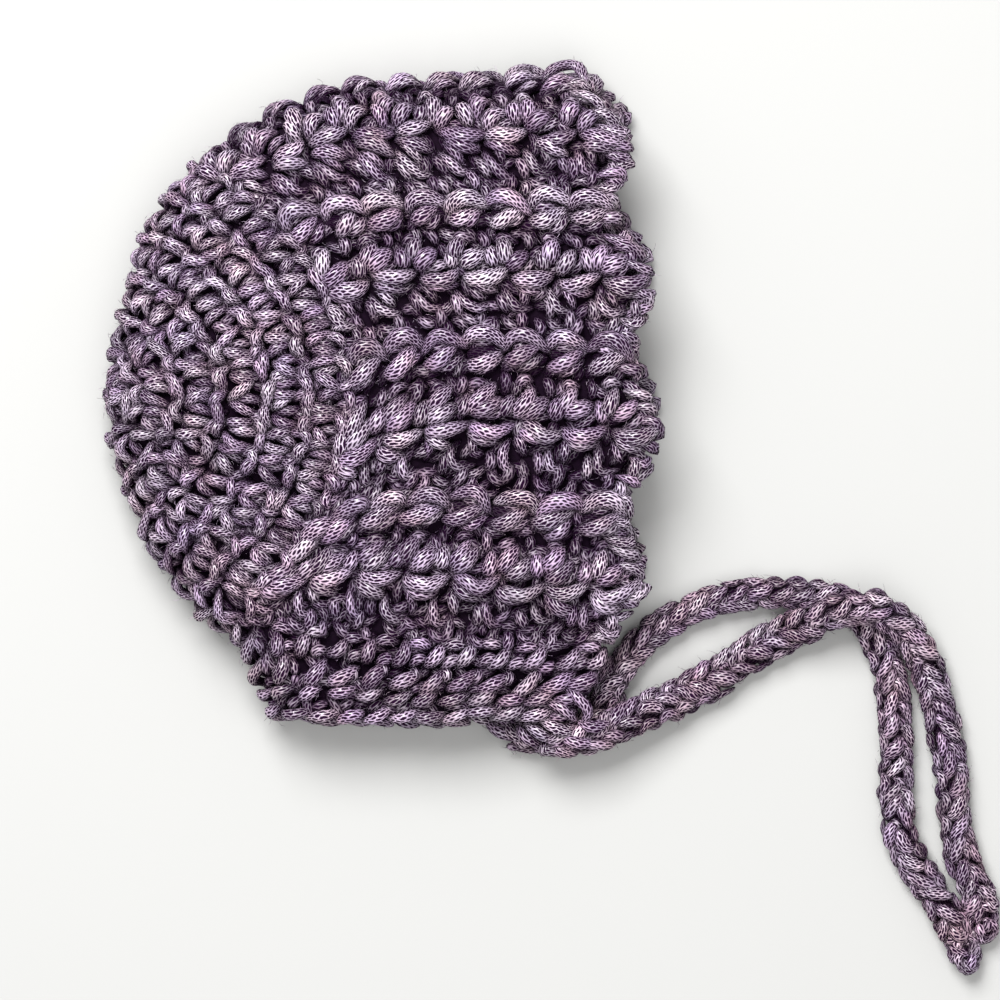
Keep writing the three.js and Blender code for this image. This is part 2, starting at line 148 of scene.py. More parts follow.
def fuzz(patches, count, most=0.9):
    """Fine fibres that stand off the strands of some patches: one more patch."""
    spots, outward, onward = [], [], []
    sizes = np.array([patch["points"][..., 0].size for patch in patches], float)
    for number in chance.choice(len(patches), count, p=sizes / sizes.sum()):
        points = patches[number]["points"]
        strand, ring = chance.integers(len(points)), chance.integers(1, points.shape[1] - 1)
        side = chance.integers(points.shape[2] // 2)
        spots.append(points[strand, ring, side])
        outward.append(spots[-1] - points[strand, ring].mean(axis=0))
        onward.append(points[strand, ring + 1, side] - spots[-1])
    spots, outward, onward = np.array(spots), unit(np.array(outward)), unit(np.array(onward))
    rise = chance.uniform(0.2, most, (count, 1))
    reach = chance.uniform(*FIBRE_REACH, (count, 1)) * chance.choice([-1, 1], (count, 1))
    sway = chance.normal(0, FIBRE_SWAY, (count, 3))
    lines = np.stack([
        spots - outward * 0.15,
        spots + outward * rise * 0.8 + onward * reach * 0.35,
        spots + outward * rise + onward * reach + sway,
    ], 1)
    fibres = smooth_through(lines, 4)
    out = np.broadcast_to(outward[:, None], fibres.shape)
    hair = strands(fibres, out, [FIBRE_WIDTH], [FIBRE_WIDTH], 3, 0, np.full(fibres.shape[:2], SHADE_FREE))
    hair["shade"] *= 0.3
    return hair


def yarn_mesh(name, patches, material):
    """One mesh of all the patches, with the yarn's own UV map, its lots and its painted shade."""
    vertices, faces, uvs, lots, shades = [], [], [], [], []
    base = 0
    for patch in patches:
        points = patch["points"]
        count, rings, sides = points.shape[:3]
        start = base + (np.arange(count) * rings * sides)[:, None, None]
        row = (np.arange(rings - 1) * sides)[None, :, None]
        j = np.arange(sides)[None, None, :]
        k = (j + 1) % sides
        ring = start + row
        quads = np.stack([ring + j, ring + sides + j, ring + sides + k, ring + k], -1)
        faces += quads.reshape(-1, 4).tolist()
        around = np.broadcast_to((j / sides) * patch["girth"][:, None, None], quads.shape[:3])
        onward = around + patch["girth"][:, None, None] / sides
        low = np.broadcast_to(patch["along"][:, :-1, None], quads.shape[:3])
        high = np.broadcast_to(patch["along"][:, 1:, None], quads.shape[:3])
        corners = [(around, low), (around, high), (onward, high), (onward, low)]
        uvs.append(np.stack([np.stack(corner, -1) for corner in corners], -2).reshape(-1, 2))
        ends = np.arange(sides)[None, :]
        head = start[:, :, 0] + ends
        tail = start[:, :, 0] + (rings - 1) * sides + ends[:, ::-1]
        faces += head.tolist() + tail.tolist()
        uvs.append(np.repeat(patch["along"][:, :1], 2 * sides, axis=0).reshape(-1, 1) * [1, 1])
        vertices.append(points.reshape(-1, 3))
        lots.append(np.repeat(patch["lot"], rings * sides))
        shades.append(patch["shade"].reshape(-1))
        base += count * rings * sides
    mesh = bpy.data.meshes.new(name)
    mesh.from_pydata((np.concatenate(vertices) * MM).tolist(), [], faces)
    layer = mesh.uv_layers.new(name="yarn")
    layer.data.foreach_set("uv", np.concatenate(uvs).astype(np.float32).reshape(-1))
    # The "depth" attribute carries the painted shade of each point
    for label, values in (("lot", lots), ("depth", shades)):
        attribute = mesh.attributes.new(label, "FLOAT", "POINT")
        attribute.data.foreach_set("value", np.concatenate(values).astype(np.float32))
    mesh.polygons.foreach_set("use_smooth", np.ones(len(mesh.polygons), bool))
    mesh.materials.append(material)
    piece = bpy.data.objects.new(name, mesh)
    bpy.context.scene.collection.objects.link(piece)
    return piece


def math_node(tree, operation, *values, clamp=False):
    node = tree.nodes.new("ShaderNodeMath")
    node.operation = operation
    node.use_clamp = clamp
    for socket, value in zip(node.inputs, values):
        if isinstance(value, (int, float)):
            socket.default_value = value
        else:
            tree.links.new(value, socket)
    return node.outputs[0]


def noise_node(tree, place, scale, detail, dimensions="3D"):
    node = tree.nodes.new("ShaderNodeTexNoise")
    node.noise_dimensions = dimensions
    node.inputs["Scale"].default_value = scale
    node.inputs["Detail"].default_value = detail
    tree.links.new(place, node.inputs["Vector"])
    return node


# How far the net of one yarn turns for each millimetre along, how many millimetres its
# threads wander, and the half width and half length of a slot as shares of its cell
TWIST = 0.5
WANDER_AROUND = 0.7
WANDER_ALONG = 1.2
SLOT_HALF = (0.42, 0.46)
THREAD_EDGE = 1.5
STREAK_SCALE = (4.2, 0.55, 1)


def tape_net_group():
    """The yarn is a knitted tape: light threads that cross at a slant and leave dark slots."""
    group = bpy.data.node_groups.new("tape_net", "ShaderNodeTree")
    group.interface.new_socket("Slot Length", in_out="INPUT", socket_type="NodeSocketFloat")
    group.interface.new_socket("Slot Width", in_out="INPUT", socket_type="NodeSocketFloat")
    group.interface.new_socket("Thread", in_out="OUTPUT", socket_type="NodeSocketFloat")
    group.interface.new_socket("Streak", in_out="OUTPUT", socket_type="NodeSocketFloat")
    group.interface.new_socket("Lot", in_out="INPUT", socket_type="NodeSocketFloat")
    given = group.nodes.new("NodeGroupInput")
    result = group.nodes.new("NodeGroupOutput")
    place = group.nodes.new("ShaderNodeUVMap")
    place.uv_map = "yarn"
    wander = noise_node(group, place.outputs[0], 0.6, 3, "2D")
    split = group.nodes.new("ShaderNodeSeparateXYZ")
    group.links.new(place.outputs[0], split.inputs[0])
    shift = group.nodes.new("ShaderNodeSeparateXYZ")
    group.links.new(wander.outputs["Color"], shift.inputs[0])
    twist = math_node(group, "MULTIPLY_ADD", given.outputs["Lot"], TWIST, -TWIST / 2)
    twisted = math_node(group, "MULTIPLY_ADD", split.outputs[1], twist, split.outputs[0])
    around = math_node(group, "MULTIPLY_ADD", shift.outputs[0], WANDER_AROUND, twisted)
    along = math_node(group, "MULTIPLY_ADD", shift.outputs[1], WANDER_ALONG, split.outputs[1])
    rows = math_node(group, "DIVIDE", around, given.outputs["Slot Width"])
    odd = math_node(group, "FLOORED_MODULO", math_node(group, "FLOOR", rows), 2)
    turns = math_node(group, "DIVIDE", along, given.outputs["Slot Length"])
    turns = math_node(group, "MULTIPLY_ADD", odd, 0.5, turns)
    across_slot = math_node(group, "SUBTRACT", math_node(group, "FRACT", rows), 0.5)
    along_slot = math_node(group, "SUBTRACT", math_node(group, "FRACT", turns), 0.5)
    far_across = math_node(group, "POWER", math_node(group, "DIVIDE", across_slot, SLOT_HALF[0]), 2)
    far_along = math_node(group, "POWER", math_node(group, "DIVIDE", along_slot, SLOT_HALF[1]), 2)
    stretched = noise_node(group, place.outputs[0], 0.28, 1, "2D")
    open_share = math_node(group, "MULTIPLY_ADD", stretched.outputs["Fac"], -1.5, -0.02)
    beside = math_node(group, "ADD", far_across, far_along)
    thread = math_node(group, "MULTIPLY_ADD", beside, THREAD_EDGE, open_share, clamp=True)
    group.links.new(thread, result.inputs["Thread"])
    stretch = group.nodes.new("ShaderNodeMapping")
    stretch.inputs["Scale"].default_value = STREAK_SCALE
    group.links.new(place.outputs[0], stretch.inputs["Vector"])
    fine = noise_node(group, stretch.outputs[0], 1, 3, "2D")
    group.links.new(fine.outputs["Fac"], result.inputs["Streak"])
    return group


TAPE_NET = tape_net_group()
THREAD_PALE = (0.96, 0.80, 0.97, 1)
THREAD_PLUM = (0.68, 0.46, 0.73, 1)
THREAD_ROSE = (0.92, 0.60, 0.70, 1)
THREAD_VIOLET = (0.66, 0.52, 0.84, 1)
SLOT_DARK = (0.019, 0.005, 0.022, 1)
# Near-black of the painted shade, where strands lie low, turn their flanks down, or only shade is seen
PAINTED_SHADE_DARK = (0.010, 0.002, 0.012, 1)
SLOT_LENGTH = 1.5
SLOT_WIDTH = 0.56
PATCH_SCALE = 120
PATCH_CONTRAST = 2.6
ROSY_FROM = 1.35
VIOLET_FROM = 1.3
LOT_SHADE = 0.5
STREAK_SHADE = 0.55


def mixed(tree, share, low, high):
    node = tree.nodes.new("ShaderNodeMix")
    node.data_type = "RGBA"
    for socket, value in ((node.inputs[0], share), (node.inputs[6], low), (node.inputs[7], high)):
        if isinstance(value, (int, float, tuple)):
            socket.default_value = value
        else:
            tree.links.new(value, socket)
    return node.outputs[2]


def yarn_material(name, inside_painted_shade=0, warmer=0.1, slot_size=1):
    """Mauve tape yarn: net of threads, lots that differ a little, and painted shade where it lies deep or
    turns its flanks down.
    The coat is the sheen of the threads, and the slots between them have none."""
    material = bpy.data.materials.new(name)
    material.use_nodes = True
    tree = material.node_tree
    shader = tree.nodes["Principled BSDF"]
    net = tree.nodes.new("ShaderNodeGroup")
    net.node_tree = TAPE_NET
    net.inputs["Slot Length"].default_value = SLOT_LENGTH * slot_size
    net.inputs["Slot Width"].default_value = SLOT_WIDTH * slot_size
    lot = tree.nodes.new("ShaderNodeAttribute")
    lot.attribute_name = "lot"
    tree.links.new(lot.outputs["Fac"], net.inputs["Lot"])
    depth = tree.nodes.new("ShaderNodeAttribute")
    depth.attribute_name = "depth"
    threads = mixed(tree, lot.outputs["Fac"], THREAD_PALE, THREAD_PLUM)
    place = tree.nodes.new("ShaderNodeTexCoord")
    patchy = noise_node(tree, place.outputs["Object"], PATCH_SCALE, 2)
    patch = patchy.outputs["Fac"]
    rosy = math_node(tree, "MULTIPLY_ADD", patch, PATCH_CONTRAST, warmer - ROSY_FROM, clamp=True)
    violet = math_node(tree, "MULTIPLY_ADD", patch, -PATCH_CONTRAST, VIOLET_FROM - warmer, clamp=True)
    threads = mixed(tree, rosy, threads, THREAD_ROSE)
    threads = mixed(tree, violet, threads, THREAD_VIOLET)
    shaded_lot = math_node(tree, "FRACT", math_node(tree, "MULTIPLY", lot.outputs["Fac"], 7.3))
    threads = mixed(tree, math_node(tree, "MULTIPLY", shaded_lot, LOT_SHADE), threads, SLOT_DARK)
    streaky = math_node(tree, "MULTIPLY_ADD", net.outputs["Streak"], 1.6, -0.15, clamp=True)
    threads = mixed(tree, streaky, mixed(tree, STREAK_SHADE, threads, SLOT_DARK), threads)
    netted = mixed(tree, net.outputs["Thread"], SLOT_DARK, threads)
    # Painted shade: the "depth" attribute mixes low points and down-turned flanks towards near-black
    painted_shade = math_node(tree, "MULTIPLY", depth.outputs["Fac"], 0.95, clamp=True)
    colour = mixed(tree, painted_shade, netted, PAINTED_SHADE_DARK)
    # The inside copy is painted darker, as the shade inside the bonnet
    tree.links.new(mixed(tree, inside_painted_shade, colour, PAINTED_SHADE_DARK), shader.inputs["Base Color"])
    shader.inputs["Roughness"].default_value = 0.8
    shader.inputs["Specular IOR Level"].default_value = 0
    lit = math_node(tree, "SUBTRACT", 1.0, painted_shade)
    shine = math_node(tree, "MULTIPLY", math_node(tree, "POWER", lit, 1.5), net.outputs["Thread"])
    tree.links.new(shine, shader.inputs["Coat Weight"])
    shader.inputs["Coat Roughness"].default_value = 0.36
    shader.inputs["Coat IOR"].default_value = 1.9
    bump = tree.nodes.new("ShaderNodeBump")
    bump.inputs["Strength"].default_value = 0.9
    bump.inputs["Distance"].default_value = 0.35 * MM
    raised = math_node(tree, "MULTIPLY_ADD", net.outputs["Streak"], 0.5, net.outputs["Thread"])
    tree.links.new(raised, bump.inputs["Height"])
    tree.links.new(bump.outputs[0], shader.inputs["Normal"])
    return material


YARN = yarn_material("mauve_yarn")
# Painted shade: the yarn inside the bonnet is the same yarn mixed a quarter towards near-black
YARN_INSIDE_SHADED = yarn_material("mauve_yarn_inside_shaded", inside_painted_shade=0.25)
YARN_TIES = yarn_material("mauve_yarn_ties", warmer=0.35)


def scattered(line, count, spread=0.36, swing=8):
    """The same strand for many stitches, each a little out of place and turned."""
    line = np.array(line, float)
    centre = line.mean(axis=0)
    turn = chance.normal(0, swing * DEGREE, count)
    cosine, sine = np.cos(turn)[:, None], np.sin(turn)[:, None]
    from_centre = line - centre
    turned = np.stack([
        centre[0] + cosine * from_centre[:, 0] - sine * from_centre[:, 1],
        centre[1] + sine * from_centre[:, 0] + cosine * from_centre[:, 1],
        np.broadcast_to(line[:, 2], (count, len(line))),
    ], -1)
    shift = chance.normal(0, spread, (count, 1, 3)) * [1, 1, 0.6]
    return turned + shift + chance.normal(0, spread * 0.7, turned.shape) * [1, 1, 0.6]


def filler_lines(count, width=1.35):
    """Short strands that lie every way, low between the stitches."""
    turn = chance.uniform(0, math.pi, count)
    half = chance.uniform(2.0, 3.4, count)
    bow = chance.uniform(-1.2, 1.2, count)
    along = np.stack([np.cos(turn), np.sin(turn)], -1)
    aside = np.stack([-np.sin(turn), np.cos(turn)], -1)
    ends = along * half[:, None]
    flat = np.stack([-ends, aside * bow[:, None], ends], 1)
    rise = np.stack([np.full(count, 0.2), chance.uniform(1.0, 1.9, count), np.full(count, 0.2)], 1)
    widths = width * chance.uniform(0.8, 1.2, count)
    return np.concatenate([flat, rise[..., None]], -1), widths


# Each stitch of a tie is drawn over (along, across, height) from the middle of the cord
TIE_PITCH = 4.5
TIE_EDGE = 0.6
TIE_HALF_HEIGHT = 2.4
TIE_SPREAD = 0.26
TIE_SWING = 4
TIE_SHADE = 0.8
TIE_FIBRES = 900
# The core's depth paints it near-black: painted shade inside the cord
TIE_CORE = {"width": 2.3, "height": 1.4, "depth": 0.97}
SLOW_ROLL = {"by": 0.75, "each": 15}
QUICK_ROLL = {"by": 0.35, "each": 5.3}
# A leaf's depth is painted shade added to a strand that lies low
TIE_LEAVES = [
    {"line": [(-1.4, 0.1, 1.2), (0.6, 1.5, 2.6), (2.7, 2.6, 1.9), (4.2, 2.3, 0.2)],
     "width": 1.55},
    {"line": [(-3.6, -0.1, 1.2), (-1.7, -1.5, 2.6), (0.4, -2.6, 1.9), (1.9, -2.3, 0.2)],
     "width": 1.55},
    {"line": [(-1.0, -0.8, 0.9), (0.5, 0.5, 2.7), (2.3, 0.2, 1.0)], "width": 1.15},
    {"line": [(1.4, -1.4, 0.6), (2.7, -0.2, 2.2), (4.2, 0.9, 0.8)], "width": 1.05, "depth": 0.08},
    {"line": [(-2.0, 2.7, -0.6), (0.4, 3.3, 0.5), (2.6, 2.5, -0.6)], "width": 1.2, "depth": 0.1},
    {"line": [(-4.2, -2.7, -0.6), (-2.0, -3.3, 0.5), (0.4, -2.5, -0.6)], "width": 1.2, "depth": 0.1},
    {"line": [(-2.0, 1.2, -0.9), (0.4, 1.6, -1.5), (3.0, 0.6, -0.9)], "width": 1.4, "depth": 0.2},
    {"line": [(-2.0, -1.2, -0.9), (0.4, -1.6, -1.5), (3.0, -0.6, -0.9)], "width": 1.4, "depth": 0.2},
]


def tie_frame(route, count):
    """Points along a route, with its direction, the way across it and the length walked."""
    line = smooth_through(route, count)
    tangent = unit(np.gradient(line, axis=0))
    across = unit(np.cross(np.broadcast_to([0, 0, 1.0], line.shape), tangent))
    step = np.linalg.norm(np.diff(line, axis=0), axis=1)
    return line, tangent, across, np.concatenate([[0], np.cumsum(step)])


def tie(name, route, node, length, swell):
    """A cord of leaf-shaped stitches along its route, rolled a little and wider where it swells."""
    line, tangent, across, along = tie_frame(route, 400)

    def at(where, values):
        return np.stack([np.interp(where, along, values[:, i]) for i in range(3)], -1)

    patches = []
    starts = np.arange(1.5, along[-1] + 1.5, TIE_PITCH)
    starts = starts + chance.normal(0, 0.35, len(starts))
    plain_width = TIE_WIDTH / 2 - TIE_EDGE
    for leaf in TIE_LEAVES:
        points = scattered(leaf["line"], len(starts), TIE_SPREAD, TIE_SWING)
        points[..., 0] = np.clip(points[..., 0] + starts[:, None], 0, along[-1])
        local = smooth_through(points, 12)
        spine = at(local[..., 0], line)
        side = unit(at(local[..., 0], across))
        up = unit(np.cross(at(local[..., 0], tangent), side))
        slow = SLOW_ROLL["by"] * np.sin(local[..., :1] / SLOW_ROLL["each"] + length * 100)
        roll = slow + QUICK_ROLL["by"] * np.sin(local[..., :1] / QUICK_ROLL["each"])
        share = local[..., :1] / along[-1]
        half_width = plain_width * (1 + swell * np.sin(np.pi * np.clip((share - 0.05) / 0.5, 0, 1)))
        flat, tall = local[..., 1:2] / plain_width, local[..., 2:3] / TIE_HALF_HEIGHT
        flat, tall = np.cos(roll) * flat - np.sin(roll) * tall, np.sin(roll) * flat + np.cos(roll) * tall
        within = np.minimum(1, 1.0 / np.maximum(np.hypot(flat, tall), 0.1))
        flat, tall = flat * within, tall * within
        middle = spine + side * half_width * flat + up * TIE_HALF_HEIGHT * tall
        width = leaf["width"] * chance.uniform(0.75, 1.2, len(starts))
        outward = unit(up * tall + side * flat)
        patches.append(strands(middle, outward, width, width * 0.7, 8, leaf.get("depth", 0),
                               3.1 * np.hypot(flat, tall) - 0.4))
        patches[-1]["shade"] *= TIE_SHADE
    patches.append(fuzz(patches, TIE_FIBRES, 0.5))
    # A core painted near-black as the shade inside the cord
    core = smooth_through(route, 90)[None]
    patches.append(strands(core, np.broadcast_to([0, 0, 1.0], core.shape), [TIE_CORE["width"]],
                           [TIE_CORE["height"]], 10, TIE_CORE["depth"], end=0.8))
    piece = yarn_mesh(name, patches, YARN_TIES)
    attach(piece, "root")
    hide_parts(node)


# Tie ends
# Each tie ends in a tight little knot of the same yarn, its strand wound over itself. Here
# the far one lies a little nearer to the near one than its solid, as the photo shows them.
KNOT_STRANDS = 32
KNOT_TIP_STRANDS = 5
KNOT_FLATNESS = 0.72
KNOT_STRAND_HEIGHT = 0.95
KNOT_TIP_WIDTH = 1.3
FAR_KNOT_MOVED = (2.2, 0.3, 0.5)


def tie_knot(name, node, route, moved=(0, 0, 0)):
    """Strands wound round the end of a route, with a few over its tip and a core painted dark as shade."""
    low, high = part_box(node)
    middle = (np.array(low) + np.array(high)) / 2 / MM + moved
    size = (np.array(high) - np.array(low)) / 2 / MM
    back = np.array(route[-1]) - 3 * unit(np.array(route[-1]) - np.array(route[-2]))
    axis = unit(middle - back)
    side = unit(np.cross([0, 0, 1.0], axis))
    above = np.cross(axis, side)
    reach = np.linalg.norm(middle - back) + size[:2].mean() - 1
    patches = []
    for place in np.linspace(-0.5, reach - 1.5, KNOT_STRANDS):
        turn = chance.uniform(0, 2 * math.pi) + np.array([-0.7, 0, 0.7]) * chance.uniform(-1.4, 1.4)
        along = place + np.array([-2.2, 0, 2.2]) * chance.uniform(0.5, 1.1)
        bulk = np.clip((reach - along) / 2.6, 0.3, 1) ** 0.5 * (size[:2].mean() - 0.9) * [0.8, 1.05, 0.8]
        points = (back + axis * np.minimum(along, reach)[:, None] + side * (bulk * np.cos(turn))[:, None]
                  + above * (bulk * KNOT_FLATNESS * np.sin(turn))[:, None])
        local = smooth_through(points, 12)[None]
        out = unit(local - back - axis * ((local - back) @ axis)[..., None])
        patches.append(strands(local, out, [chance.uniform(1.1, 1.5)], [KNOT_STRAND_HEIGHT], 8, 0))
    for _ in range(KNOT_TIP_STRANDS):
        turn = chance.uniform(0, math.pi)
        aside = (side * np.cos(turn) + above * KNOT_FLATNESS * np.sin(turn)) * (size[:2].mean() - 1.4)
        tip = back + axis * (reach - 1.3) + chance.normal(0, 0.25, 3)
        points = [tip - aside - axis * 1.6, tip - aside * 0.6 + axis * 0.5,
                  tip + aside * 0.6 + axis * 0.5, tip + aside - axis * 1.6]
        local = smooth_through(points, 12)[None]
        patches.append(strands(local, unit(local - middle), [KNOT_TIP_WIDTH], [KNOT_STRAND_HEIGHT], 8, 0))
    # A core painted near-black as the shade inside the knot
    core = smooth_through([back, (back + middle) / 2, middle + axis * size[0] * 0.4], 8)[None]
    patches.append(strands(core, np.broadcast_to([0, 0, 1.0], core.shape), [size[0] * 0.55], [1.4], 8, 0.9))
    piece = yarn_mesh(name, patches, YARN_TIES)
    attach(piece, "root")
    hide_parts(node)
    return piece


near_knot = tie_knot("near_tie_end", "near_tie_knot", NEAR_TIE_ROUTE)
far_knot = tie_knot("far_tie_end", "far_tie_knot", FAR_TIE_ROUTE, moved=FAR_KNOT_MOVED)
tie("near_tie_cord", NEAR_TIE_ROUTE, "near_tie", length=0.150, swell=0.17)
tie("far_tie_cord", FAR_TIE_ROUTE, "far_tie", length=0.163, swell=-0.14)

# Crown
# The back of the head: a round worked outwards from a ring on the back fold in six rounds
# of tall stitches, folded flat over the back edge. Its wall is about 5.5 mm thick.
PIVOT_X = 7.74
BACK_RADIUS = 64.6
TOP_CLIMB = 1.5
TOP_CLIMB_LENGTH = 24
HALF_WALL = 2.75
FOLD_HEIGHT = 7.2
HOOD_HEIGHT = 21
NECK_HEIGHT = 12.5
FOLD_SLACK = 4.7
CROWN_RADIUS = 52
WIDE_REACH = 26
TIGHT_REACH = 5.5
PRESSED = 1.2
FLAT_FROM = WIDE_REACH + FOLD_SLACK
NAPE_TOP = {"angle": 234.6 * DEGREE, "radius": BACK_RADIUS - HALF_WALL}
NAPE_FOOT = {"angle": 247.6 * DEGREE, "radius": 72.4}
FULLER = {"by": 2.7, "from": 165 * DEGREE, "over": 25 * DEGREE}
EASED = {"by": 1, "from": 130 * DEGREE, "over": 40 * DEGREE}
RISE = {"from": -72, "over": 70}
CORNER = {"drop": 3.5, "x": 14, "length": 26, "y": -34, "depth": 30}
NARROWING = {"from": 200 * DEGREE, "over": 32 * DEGREE}
GROWTH = {"by": 9, "from": 45 * DEGREE, "over": 20 * DEGREE, "foot": 63 * DEGREE}
# The angle behind the pivot counts as a length along the fold at this radius
S_RADIUS = 65


def mix(a, b, t):
    return a + (b - a) * t


def ease(t):
    t = np.clip(t, 0, 1)
    return t * t * (3 - 2 * t)


def fold_radius(angle):
    """The back fold seen from above: round behind the pivot, and straight down the nape."""
    fuller = FULLER["by"] * ease((FULLER["from"] - angle) / FULLER["over"])
    eased = EASED["by"] * ease((EASED["from"] - angle) / EASED["over"])
    ax, ay = (NAPE_TOP["radius"] * f(NAPE_TOP["angle"]) for f in (math.cos, math.sin))
    bx, by = (NAPE_FOOT["radius"] * f(NAPE_FOOT["angle"]) for f in (math.cos, math.sin))
    x, y = bx - ax, by - ay
    nape = (ax * y - ay * x) / np.maximum(np.cos(angle) * y - np.sin(angle) * x, 1)
    return np.where(angle <= NAPE_TOP["angle"], BACK_RADIUS - HALF_WALL + fuller - eased, nape)


def fold_top(x):
    return fold_radius(np.float64(90 * DEGREE)) + TOP_CLIMB * ease((x - PIVOT_X) / TOP_CLIMB_LENGTH)


def fold_profile(reach, rise):
    """How the wall comes off the fold: a quarter ellipse walked by its length, then flat."""
    turn = np.linspace(0, math.pi / 2, 61)
    steps = np.hypot(reach * np.diff(np.cos(turn)), rise * np.diff(np.sin(turn)))
    length = np.concatenate([[0], np.cumsum(steps)])
    scale = (reach + FOLD_SLACK) / length[-1]

    def walk(walked):
        angle = np.interp(walked / scale, length, turn)
        flat = walked > FOLD_SLACK + reach
        return np.where(flat, walked - FOLD_SLACK, reach * (1 - np.cos(angle))), np.sin(angle)

    return walk


wide_fold = fold_profile(WIDE_REACH, HOOD_HEIGHT - FOLD_HEIGHT)
tight_fold = fold_profile(TIGHT_REACH, FOLD_HEIGHT - HALF_WALL)


def upper_height(x, y):
    """How high the middle of the upper wall lies: it climbs from the neck, less in the corner."""
    corner = ease((x - CORNER["x"]) / CORNER["length"]) * ease((CORNER["y"] - y) / CORNER["depth"])
    risen = ease((y - RISE["from"]) / RISE["over"])
    return mix(NECK_HEIGHT, HOOD_HEIGHT, risen) - CORNER["drop"] * corner


def wall_middle(s, q):
    """The middle of the wall at s along the fold and q of fabric from it, + on the upper side."""
    angle = 90 * DEGREE - np.minimum(s, 0) / S_RADIUS
    roundness = 1 - ease((angle - NARROWING["from"]) / NARROWING["over"])
    tight = tight_fold(np.abs(q))
    wide = wide_fold(np.abs(q))
    wideness = np.where(q > 0, roundness, 0)
    inward = mix(tight[0], wide[0], wideness)
    up = mix(tight[1], wide[1], wideness)
    ahead = s >= 0
    reach = np.where(ahead, fold_top(PIVOT_X + s), fold_radius(angle)) - inward
    x = np.where(ahead, PIVOT_X + s, PIVOT_X + reach * np.cos(angle))
    y = np.where(ahead, reach, reach * np.sin(angle))
    far = np.where(q > 0, upper_height(x, y), HALF_WALL)
    return np.stack([x, y, mix(FOLD_HEIGHT, far, up)], -1)


def flat_to_fold(x, y):
    """A place seen from above as a length along the fold and a length of fabric from it."""
    angle = np.mod(np.arctan2(y, x - PIVOT_X), 2 * math.pi)
    ahead = x >= PIVOT_X
    s = np.where(ahead, x - PIVOT_X, (90 * DEGREE - angle) * S_RADIUS)
    behind = fold_radius(angle) - np.hypot(x - PIVOT_X, y)
    return s, FOLD_SLACK + np.where(ahead, fold_top(x) - y, behind)


def fold_to_flat(s, q):
    """The way back from a place along and off the fold to one seen from above."""
    angle = 90 * DEGREE - np.minimum(s, 0) / S_RADIUS
    reach = np.where(s >= 0, fold_top(PIVOT_X + s), fold_radius(angle)) + FOLD_SLACK - q
    x = np.where(s >= 0, PIVOT_X + s, PIVOT_X + reach * np.cos(angle))
    return x, np.where(s >= 0, reach, reach * np.sin(angle))


def wall_at(s, q):
    """The middle of the wall and its outward direction, near the fold or out on the flat."""
    s, q = np.broadcast_arrays(np.asarray(s, float), np.asarray(q, float))
    across = wall_middle(s, q + 0.05) - wall_middle(s, q - 0.05)
    along = wall_middle(s + 3, q) - wall_middle(s - 3, q)
    folded = -unit(np.cross(along, across))
    x, y = fold_to_flat(s, np.abs(q))
    lean_x = upper_height(x + 0.5, y) - upper_height(x - 0.5, y)
    lean_y = upper_height(x, y + 0.5) - upper_height(x, y - 0.5)
    above = unit(np.stack([-lean_x, -lean_y, np.ones_like(x)], -1))
    flat = np.where((q > 0)[..., None], above, [0, 0, -1])
    beyond = ease((np.abs(q) - FLAT_FROM + 4) / 4)[..., None]
    return wall_middle(s, q), unit(mix(folded, flat, beyond))


def laid(middle, out, height):
    """A point at a height over the middle of the wall. What the bonnet lies on is pressed flat."""
    pressed = ease((-out[..., 2:3] - 0.1) / 0.8) * np.sign(height) * PRESSED
    return middle + out * (height - np.where(height > 0, pressed, 0))


def on_wall(spots, sign, fine, widths, sides, depth):
    """Strands at their heights over places of a wall, on its outside or, with a minus, inside."""
    middle, out = spots
    middle = laid(middle, out, sign * fine[..., 2:3])
    return strands(middle, sign * out, widths, widths * FLATNESS, sides, depth, fine[..., 2])


CROWN_X = float(PIVOT_X - fold_radius(np.float64(math.pi)) - FOLD_SLACK)


def fold_angle(radius, top):
    """Where a circle about the crown's centre meets the fold, above or below it."""
    low = np.full(np.shape(radius), 40 * DEGREE)
    high = np.full(np.shape(radius), 100 * DEGREE)
    for _ in range(40):
        angle = (low + high) / 2
        x = CROWN_X + radius * np.cos(angle)
        y = radius * np.sin(angle) * (1 if top else -1)
        inside = flat_to_fold(x, y)[1] > 0
        low = np.where(inside, angle, low)
        high = np.where(inside, high, angle)
    return low


def crown_edge(angle):
    """The crown's radius, which grows towards the nape."""
    return CROWN_RADIUS + GROWTH["by"] * ease((-angle - GROWTH["from"]) / GROWTH["over"])


CIRCLES = np.linspace(0.5, 64, 80)
MEETS_TOP = fold_angle(CIRCLES, True)
MEETS_FOOT = fold_angle(CIRCLES, False)
SEAM_TOP = float(np.interp(CROWN_RADIUS, CIRCLES, MEETS_TOP))
SEAM_FOOT = float(np.interp(crown_edge(-GROWTH["foot"]), CIRCLES, MEETS_FOOT))


def crown_flat(share, angle, grow=0):
    """A place on the crown seen from above, at a share of its radius and an angle."""
    radius = np.maximum(share * crown_edge(angle) + grow, 0.5)
    held_top = np.interp(radius, CIRCLES, MEETS_TOP) / SEAM_TOP
    held_foot = np.interp(radius, CIRCLES, MEETS_FOOT) / SEAM_FOOT
    turned = angle * np.where(angle > 0, held_top, held_foot)
    return CROWN_X + radius * np.cos(turned), radius * np.sin(turned)


WHOLE_TURN = 2 * (SEAM_TOP + SEAM_FOOT)


